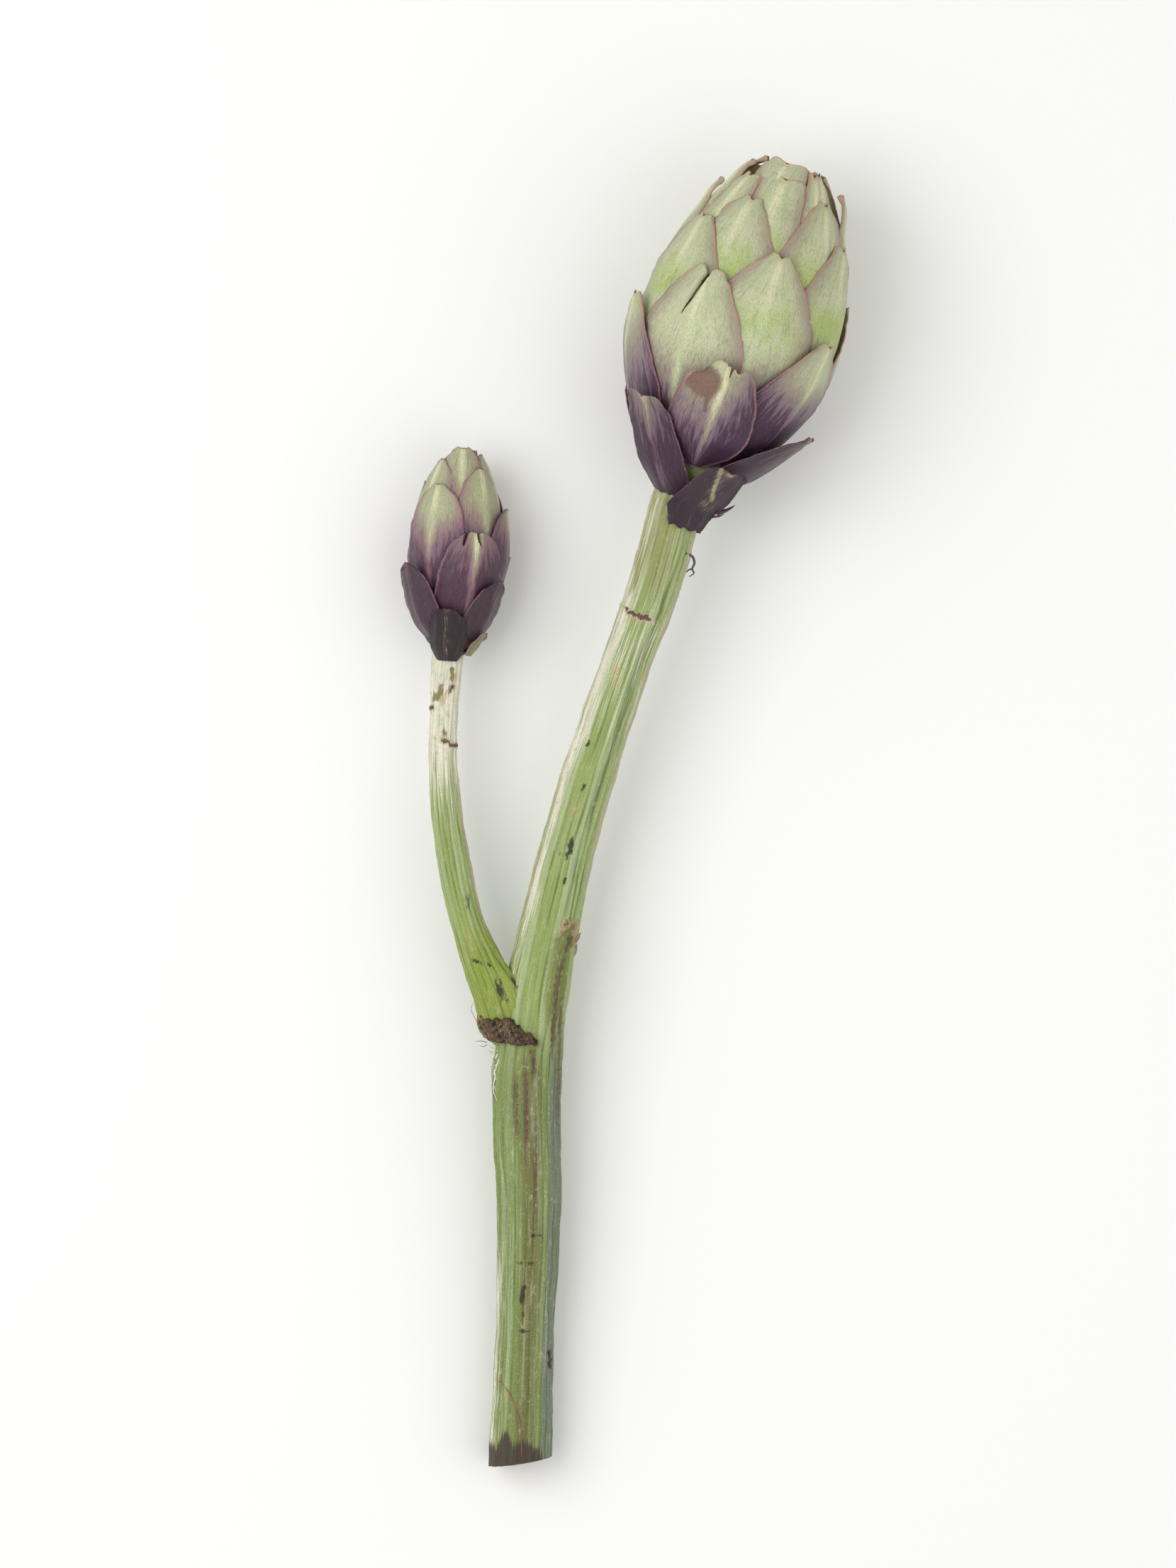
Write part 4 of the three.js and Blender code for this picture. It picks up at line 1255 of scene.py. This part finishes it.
def core_part(head):
    """The heart of a head, which closes the gaps between its bracts and is darkened there with painted
    shade.
    """
    rows, columns = CORE_GRID
    along = np.linspace(-1, head["core_top"], rows)
    radius = np.maximum(head["neck"] * 0.85, envelope(head, along) - head["core_depth"])
    dome = np.clip(1 - (head["core_top"] - along) / (0.16 * head["core_top"]), 0, 1)
    radius = np.maximum(radius * np.sqrt(1 - dome**2), 0.05)
    radius[0] = 0.05
    turn = np.linspace(0, 2 * math.pi, columns, endpoint=False)
    rings = np.stack(
        [radius[:, None] * np.sin(turn), along[:, None] + 0 * turn, radius[:, None] * np.cos(turn)],
        -1,
    )
    points = rings.reshape(-1, 3)
    # The core shows only in the gaps between the bracts: purple and darkened with painted shade in its
    # middle band, bright yellow-green at its foot.
    shaded = smooth(8, 18, along) * (1 - smooth(0.72, 0.9, along / head["core_top"]))
    fields = {
        "grain": points * np.array([1, 0.3, 1]),
        "purple": np.repeat(1.2 * shaded, columns),
        "dark": np.repeat(0.6 * shaded, columns),
        "bright": np.repeat(1 - shaded, columns),
        "number": np.full(len(points), -2.0),
        "edge": np.full(len(points), 9.0),
    }
    return {"points": placed(head, points), "faces": grid_faces(*CORE_GRID, closed=True), "fields": fields}


# Marks on the heads: the bract, the field, how wide, how strong and the line as seen from above.
HEAD_MARKS = {
    "large_head": [
        (5, "dead", 5.6, 1.0, [(20.0, 137.8), (22.0, 135.0), (24.6, 132.4)]),
        (5, "dead", 1.1, 0.75, [(25.4, 130.0), (24.2, 124.0)]),
        (18, "crack", 0.5, 0.8, [(33.6, 190.4), (35.4, 190.0)]),
        (13, "crack", 0.35, 0.5, [(36.0, 145.9), (38.6, 145.2)]),
        (7, "crack", 0.6, 0.45, [(0.4, 151.4), (2.6, 150.9)]),
        (10, "crack", 0.4, 0.5, [(22.4, 155.4), (23.6, 154.9)]),
        (0, "pale", 0.9, 1.0, [(30.0, 107.4), (28.6, 103.4), (27.3, 100.4), (26.6, 97.0)]),
        (0, "pale", 3.0, 0.42, [(31.0, 108.0), (29.0, 103.0), (25.0, 95.0)]),
        (0, "pale", 2.2, 0.3, [(22.0, 107.0), (20.0, 103.0)]),
        (2, "pale", 0.3, 0.9, [(4.5, 121.4), (4.6, 120.4)]),
    ],
    "small_head": [
        (0, "pale", 0.9, 0.4, [(-55.7, 60.5), (-55.9, 48.0)]),
        (0, "pale", 0.5, 0.9, [(-56.6, 64.2), (-55.4, 64.2)]),
    ],
}


# Thorns on the large head: the bract they grow from, and the root and tip as seen from above.
THORNS = [(0, (28.6, 92.6), (33.9, 95.2), 0.95), (0, (27.4, 91.6), (30.6, 92.6), 0.5)]


def thorn_parts(part, rules):
    """Spines that stand out from the edge of a bract."""
    spots = part["points"][:, :2] + CENTRING[:2]
    numbers = part["fields"]["number"]
    grown = []
    for number, root, tip, thickness in rules:
        gaps = np.linalg.norm(spots - root, axis=1) + np.where(numbers == number, 0, 99)
        start = part["points"][int(np.argmin(gaps))]
        end = np.array([*(np.asarray(tip) - CENTRING[:2]), start[2] + 0.6])
        inside = start - 0.5 * (end - start) / np.linalg.norm(end - start)
        thorn = strand([inside, start, 0.5 * (start + end) - (0.0, 0.35, 0.0), end], thickness, "", 8, 0.03)
        count = len(thorn["points"])
        values = {"purple": 1.0, "dark": 0.7, "edge": 9.0, "number": -2.0}
        thorn["fields"] = {name: np.full(count, value) for name, value in values.items()}
        thorn["fields"]["grain"] = thorn["points"].copy()
        grown.append(thorn)
    return grown


def mark_head(part, marks):
    """Adds the marks seen from above to a head's fields."""
    spots = part["points"][:, :2] + CENTRING[:2]
    fields = part["fields"]
    numbers = fields.pop("number")
    for field in ("dead", "crack", "pale"):
        fields.setdefault(field, np.zeros(len(spots)))
    for number, field, width, strength, line in marks:
        there = strength * bell(near_line(spots, line), width)
        there = np.where((numbers == number) & (fields["inner"] < 0.5), there, 0)
        fields[field] = np.maximum(fields[field], there)


def bract_finish(name, settings):
    """Fresh bracts: a waxy skin with fine lengthwise veins, dry brown rims and a soft low gloss, a mauve
    tint with painted shade on their flanks, and painted shade on the core in the gaps between them.
    """
    material, tree, shader = new_surface(name)
    noises = grown_noises(
        tree,
        {"vein": (0.42, 2.4, 5), "streak": (1.3, 9, 4), "cloud": (4.5, 7, 4), "stipple": (0.5, 0.7, 4)},
    )
    colour = layered(
        tree,
        opaque(settings.green),
        [
            (None, "cloud", 2.6, 0.35, 0.95, 0.6, "#B0BC88"),
            ("bright", "cloud", 0.9, 0.15, 0.95, 0.85, settings.bright),
            ("rib", "vein", 0.8, 0.05, 0.95, 0.8, "#E2E0B8"),
            # Mauve tint and painted shade on both flanks of each bract.
            ("flank", "vein", 2.0, 0.05, 1.0, 0.7, settings.blush),
            ("purple", "vein", 1.6, 0.0, 0.4, 0.95, settings.blush),
            ("purple", "stipple", 2.6, 0.3, 1.0, 0.55, settings.purple),
            ("purple", "vein", 2.2, 0.3, 0.88, 0.9, settings.purple),
            ("purple", "streak", 1.9, 0.62, 1.12, 0.92, settings.deep),
            # Dark lowest bracts; on the core, painted shade in the gaps between the bracts.
            ("dark", "streak", 0.9, 0.1, 0.95, 0.92, settings.dark),
            ("pale", "vein", 1.6, 0.25, 0.95, 0.75, "#B3A785"),
            ("withered", "streak", 1.4, 0.2, 0.9, 0.9, "#7F7A49"),
            ("dead", "vein", 0.5, 0.32, 0.62, 0.92, "#7E6054"),
            (None, "streak", 3.2, 0.55, 1.2, 0.3, "#6A5A5C"),
        ],
        noises,
    )
    colour = grained(tree, colour, noises["vein"], 0.78, 1.2)
    colour = grained(tree, colour, noises["stipple"], 0.82, 1.18)
    rim = layered(
        tree,
        opaque(settings.rim),
        [
            ("purple", "streak", 0.6, 0.1, 0.8, 0.8, "#7F5068"),
            (None, "stipple", 2.2, 0.6, 1.1, 0.6, "#CDB59A"),
        ],
        noises,
    )
    edge = node(tree, "ShaderNodeAttribute", attribute_name="edge").outputs["Fac"]
    frayed = node(
        tree,
        "ShaderNodeMath",
        {0: noises["stipple"], 1: -0.9, 2: edge},
        operation="MULTIPLY_ADD",
    ).outputs[0]
    on_rim = node(
        tree,
        "ShaderNodeMapRange",
        {"Value": frayed, "From Min": 0.45, "From Max": -0.1, "To Min": 0.0, "To Max": 0.88},
        interpolation_type="SMOOTHSTEP",
    ).outputs["Result"]
    colour = node(tree, "ShaderNodeMix", {0: on_rim, 6: colour, 7: rim}, data_type="RGBA").outputs[2]
    colour = layered(
        tree,
        colour,
        [
            ("halo", "stipple", 1.2, 0.4, 1.1, 0.65, "#CFAF8A"),
            ("spine", "stipple", 0.9, 0.5, 0.85, 0.9, "#5C3B2C"),
            ("crack", "vein", 0.4, 0.35, 0.7, 0.95, "#2A1D16"),
        ],
        noises,
    )
    normal = bumped(tree, [(noises["vein"], 0.00025), (noises["stipple"], 0.00012)])
    skin = {"Base Color": colour, "Roughness": 0.4, "Specular IOR Level": settings.gloss, "Normal": normal}
    wax = {"Coat Weight": settings.wax, "Coat Roughness": 0.2, "Coat Normal": normal}
    fill(tree, shader, {**skin, **wax})
    return material


def build_head(head, node_name, piece_name, finish_name, settings, seed):
    """Grows one head's bracts and heart as one piece."""
    rng = np.random.default_rng(seed)
    grown = [bract_rule(head, number) for number in range(head["bracts"])]
    rules = grown + head["extras"] + heart_rules(head)
    midrib = settings.midrib / MILLIMETRE
    part = joined([core_part(head)] + [bract_part(head, bract, midrib, rng) for bract in rules])
    if node_name == "large_head":
        part = joined([part] + thorn_parts(part, THORNS))
    mark_head(part, HEAD_MARKS[node_name])
    piece = mesh_piece(piece_name, part, bract_finish(finish_name, settings))
    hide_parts(node_name)
    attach(piece, "root")


class ARTICHOKE_OT_large_head(bpy.types.Operator):
    """Grows the large head's bracts"""

    bl_idname = "artichoke.large_head"
    bl_label = "Large head"

    def execute(self, context):
        settings = context.scene.artichoke_large_head
        build_head(LARGE_HEAD, "large_head", "large_bracts", "artichoke bracts, waxy", settings, SEED + 2)
        return {"FINISHED"}


class ARTICHOKE_OT_small_head(bpy.types.Operator):
    """Grows the side head's bracts"""

    bl_idname = "artichoke.small_head"
    bl_label = "Side head"

    def execute(self, context):
        settings = context.scene.artichoke_small_head
        finish_name = "young artichoke bracts, waxy"
        build_head(SMALL_HEAD, "small_head", "small_bracts", finish_name, settings, SEED + 3)
        return {"FINISHED"}


def stalk_top(x, y):
    """Height of the main stalk's skin over a spot, or of its side where the spot lies beyond it."""
    line = stem_frame(main_stations(), 400)
    centre, radius = line["centre"], line["radius"]
    aside = x - np.interp(y, centre[:, 1], centre[:, 0])
    reach = np.interp(y, centre[:, 1], radius)
    return np.interp(y, centre[:, 1], centre[:, 2]) + np.sqrt(np.maximum(reach**2 - aside**2, 0))


def strand(line, thickness, kind, sides=5, tip=0.3):
    """A fibre through x, y and z points that tapers to its end, as a part."""
    line = np.asarray(line, float)
    shares = np.linspace(0, 1, 4 * len(line))
    points = line_through(line, shares, run_on=False)
    skin, faces, caps = tube(points, thickness * (1 - (1 - tip) * shares**2), sides)
    fields = {name: np.full(len(skin), float(name == kind)) for name in ("red", "dark", "tan")}
    fields["grain"] = skin.copy()
    return {"points": skin, "faces": np.concatenate([faces, caps]), "fields": fields}


def flake(root, tip, width, rng):
    """A curled scrap of torn skin between two points."""
    root, tip = np.asarray(root, float), np.asarray(tip, float)
    forward = (tip - root) / np.linalg.norm(tip - root)
    aside = np.cross(forward, (0, 0, 1))
    aside /= np.linalg.norm(aside)
    down, across = np.meshgrid(np.linspace(0, 1, 9), np.linspace(-1, 1, 7), indexing="ij")
    phase = rng.uniform(0, 6)
    half = width * np.sin(math.pi * (0.15 + 0.8 * down)) * (1 + 0.25 * ripple(down, 0.4, phase))
    along = down * np.linalg.norm(tip - root) + 0.3 * ripple(across, 1.1, phase) * down
    height = 0.35 * width * across**2 + 0.5 * width * down**2
    sheets = []
    for lift in (0.12, -0.12):
        sheets.append(
            root
            + along[..., None] * forward
            + (across * half)[..., None] * aside
            + (height + lift)[..., None] * np.array([0, 0, 1.0])
        )
    points = np.concatenate([sheet.reshape(-1, 3) for sheet in sheets])
    fields = {"grain": points.copy(), "tan": np.ones(len(points))}
    return {"points": points, "faces": shell_faces(9, 7), "fields": fields}


# Loose fibres on or beside the main stalk: colour, thickness, how far above the skin it ends, its line.
LOOSE_FIBRES = [
    ("dark", 0.45, 0.2, [
        (18.6, 80.4), (20.6, 79.4), (21.3, 77.4), (20.6, 75.6), (21.1, 74.2), (19.6, 73.2),
    ]),
    ("dark", 0.3, 0.2, [(20.6, 75.6), (19.4, 75.2), (18.8, 74.4)]),
    ("red", 0.16, 0.5, [(-42.2, -41.4), (-41.2, -41.9), (-40.6, -43.2), (-40.2, -44.6)]),
    ("red", 0.24, 0.2, [
        (-40.2, -176.2), (-38.0, -177.9), (-35.4, -182.1), (-33.8, -186.9), (-32.5, -192.4),
        (-32.5, -200.1),
    ]),
    ("red", 0.1, 1.5, [(-44.0, -66.6), (-46.4, -64.6), (-47.9, -61.6), (-47.7, -59.6), (-46.9, -58.9)]),
    ("dark", 0.12, 0.6, [(-43.2, -71.4), (-45.0, -71.0), (-46.8, -71.2)]),
    ("dark", 0.1, 0.2, [(-43.0, -72.0), (-44.4, -72.8), (-45.2, -72.2)]),
    ("", 0.2, 0.3, [(-38.6, -72.4), (-40.6, -73.2), (-41.9, -73.0), (-42.4, -72.2)]),
    ("", 0.2, 0.1, [(-38.8, -73.6), (-41.0, -74.4), (-42.4, -74.2), (-43.0, -73.4)]),
    ("", 0.18, 0.5, [(-38.9, -74.6), (-40.6, -75.4), (-41.8, -75.0), (-42.2, -74.4)]),
    ("", 0.34, 0.1, [(-39.7, -75.0), (-41.0, -78.2), (-40.5, -81.6), (-41.1, -85.8), (-40.1, -89.4)]),
    ("", 0.3, 0.0, [(-39.2, -76.4), (-40.3, -79.6), (-41.2, -82.6), (-40.3, -86.8)]),
    ("", 0.24, 0.3, [(-39.6, -77.6), (-41.4, -79.4), (-42.2, -78.8)]),
    ("", 0.22, 0.2, [(-40.2, -82.6), (-41.6, -84.2), (-42.0, -86.4)]),
    ("tan", 0.2, 0.2, [(-40.9, -76.0), (-41.6, -80.2), (-41.4, -84.6), (-41.2, -88.2), (-40.6, -90.4)]),
]
# Scraps of torn skin at the leaf stub's edge, from root to tip.
FLAKES = [
    ((-16.2, -36.6), (-14.5, -33.2), 0.5),
    ((-15.6, -40.4), (-14.0, -37.2), 0.5),
    ((-16.0, -44.4), (-15.1, -40.8), 0.42),
]


def fuzz(stations, count, rng):
    """Short hairs that stand out from both sides of a stem."""
    line = stem_frame(stations, 300)
    hairs = []
    for _ in range(count):
        at = rng.integers(4, 290)
        turn = rng.choice([-1, 1]) * rng.uniform(1.0, 1.8)
        out = math.sin(turn) * line["side"][at] + math.cos(turn) * line["up"][at]
        start = line["centre"][at] + (line["radius"][at] - 0.2) * out
        length = rng.uniform(0.6, 1.7)
        lean = rng.uniform(-0.7, 0.7) * line["forward"][at] + rng.uniform(-0.3, 0.3) * line["up"][at]
        middle = start + 0.6 * length * (out + 0.3 * lean)
        hairs.append(strand([start, middle, start + length * (0.8 * out + lean)], 0.05, "", 3))
    return hairs


def fibre_finish():
    """Wool, dry hairs and scraps of skin: matt, from white to red brown."""
    material, tree, shader = new_surface("plant wool and dry skin")
    noises = grown_noises(tree, {"grit": (0.5, 0.5, 3)})
    colour = layered(
        tree,
        opaque(linear("#DEDACB")),
        [
            ("tan", "grit", 1.2, 0.2, 0.8, 0.9, "#AC8B76"),
            ("red", "grit", 0.6, 0.2, 0.8, 0.9, "#93504A"),
            ("dark", "grit", 0.6, 0.2, 0.8, 0.9, "#3A2E2A"),
        ],
        noises,
    )
    fill(tree, shader, {"Base Color": colour, "Roughness": 0.8})
    return material


class ARTICHOKE_OT_fibres(bpy.types.Operator):
    """Adds the loose fibres, the short hairs and the scraps of torn skin on the stalk"""

    bl_idname = "artichoke.fibres"
    bl_label = "Fibres"

    def execute(self, context):
        rng = np.random.default_rng(SEED + 4)
        parts = []
        for kind, thickness, lift, line in LOOSE_FIBRES:
            spots = np.asarray(line) - CENTRING[:2]
            rise = np.linspace(0.0, lift, len(spots)) + 0.5 * thickness
            heights = stalk_top(spots[:, 0], spots[:, 1]) + rise
            parts.append(strand(np.column_stack([spots, heights]), thickness, kind))
        for root, tip, width in FLAKES:
            ends = np.asarray([root, tip]) - CENTRING[:2]
            heights = stalk_top(ends[:, 0], ends[:, 1]) + 0.9
            parts.append(flake((*ends[0], heights[0]), (*ends[1], heights[1] + 0.4), width, rng))
        parts += fuzz(main_stations(), 150, rng) + fuzz(BRANCH_STATIONS[1:], 90, rng)
        piece = mesh_piece("fibres", joined(parts), fibre_finish())
        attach(piece, "root")
        return {"FINISHED"}


def plain_surface(name, colour, roughness):
    """One even colour, dull, so that the eye rests on the object."""
    material, tree, shader = new_surface(name)
    fill(tree, shader, {"Base Color": opaque(colour), "Roughness": roughness})
    return material


class ARTICHOKE_OT_stage(bpy.types.Operator):
    """Lays the pale surface and sets up the soft light and the camera that looks down"""

    bl_idname = "artichoke.stage"
    bl_label = "Stage"

    def execute(self, context):
        settings = context.scene.artichoke_stage
        scene = context.scene
        mesh = bpy.data.meshes.new("surface")
        corners = [(x * FLOOR_REACH, y * FLOOR_REACH, 0) for x, y in ((-1, -1), (1, -1), (1, 1), (-1, 1))]
        mesh.from_pydata(corners, [], [(0, 1, 2, 3)])
        mesh.materials.append(plain_surface("matt paper surface", settings.floor, 0.9))
        floor = bpy.data.objects.new("surface", mesh)
        scene.collection.objects.link(floor)

        world = bpy.data.worlds.new("soft studio")
        world.use_nodes = True
        background = world.node_tree.nodes["Background"]
        background.inputs["Color"].default_value = opaque(linear("#FFFFFF"))
        background.inputs["Strength"].default_value = SKY_STRENGTH
        scene.world = world
        scene.view_settings.view_transform = "Standard"
        for name, place, size, share in LIGHTS:
            lamp = bpy.data.lights.new(name, "AREA")
            lamp.size = size
            lamp.energy = settings.key_power * share
            holder = bpy.data.objects.new(name, lamp)
            holder.location = place
            direction = -holder.location
            holder.rotation_euler = direction.to_track_quat("-Z", "Y").to_euler()
            scene.collection.objects.link(holder)

        camera = bpy.data.cameras.new("camera")
        camera.sensor_fit = "VERTICAL"
        camera.sensor_height = SENSOR_HEIGHT
        camera.lens = camera.sensor_height * (settings.camera_height - VIEW_PLANE) / settings.view_height
        camera.clip_end = 50
        holder = bpy.data.objects.new("camera", camera)
        x, y = (at + shift * MILLIMETRE for at, shift in zip(VIEW_CENTRE, CENTRING[:2]))
        holder.location = (x, y, settings.camera_height)
        scene.collection.objects.link(holder)
        scene.camera = holder
        return {"FINISHED"}


class ARTICHOKE_PT_sidebar(bpy.types.Panel):
    """Lists the artichoke's pieces and their settings"""

    bl_idname = "ARTICHOKE_PT_sidebar"
    bl_label = "Forked artichoke"
    bl_space_type = "VIEW_3D"
    bl_region_type = "UI"
    bl_category = "Artichoke"

    def draw(self, context):
        for group, operators in PANEL_ROWS:
            box = self.layout.box()
            settings = getattr(context.scene, group)
            for name in settings.__annotations__:
                box.prop(settings, name)
            for operator in operators:
                box.operator(operator)


PANEL_ROWS = (
    ("artichoke_stalk", ("artichoke.stalk", "artichoke.torn_leaf_base", "artichoke.fibres")),
    ("artichoke_large_head", ("artichoke.large_head",)),
    ("artichoke_small_head", ("artichoke.small_head",)),
    ("artichoke_stage", ("artichoke.stage",)),
)
CLASSES = (
    StalkSettings,
    BractSettings,
    YoungBractSettings,
    StageSettings,
    ARTICHOKE_OT_stalk,
    ARTICHOKE_OT_torn_leaf_base,
    ARTICHOKE_OT_large_head,
    ARTICHOKE_OT_small_head,
    ARTICHOKE_OT_fibres,
    ARTICHOKE_OT_stage,
    ARTICHOKE_PT_sidebar,
)
SETTINGS = {
    "artichoke_stalk": StalkSettings,
    "artichoke_large_head": BractSettings,
    "artichoke_small_head": YoungBractSettings,
    "artichoke_stage": StageSettings,
}


def register():
    """Adds the classes and the scene's settings."""
    for cls in CLASSES:
        bpy.utils.register_class(cls)
    for name, group in SETTINGS.items():
        setattr(bpy.types.Scene, name, bpy.props.PointerProperty(type=group))


def unregister():
    """Takes the settings and the classes away again."""
    for name in SETTINGS:
        delattr(bpy.types.Scene, name)
    for cls in reversed(CLASSES):
        bpy.utils.unregister_class(cls)


def main():
    """Builds the pieces and the stage in order."""
    register()
    bpy.ops.artichoke.stalk()
    bpy.ops.artichoke.torn_leaf_base()
    bpy.ops.artichoke.large_head()
    bpy.ops.artichoke.small_head()
    bpy.ops.artichoke.fibres()
    bpy.ops.artichoke.stage()


if __name__ == "__main__":
    main()
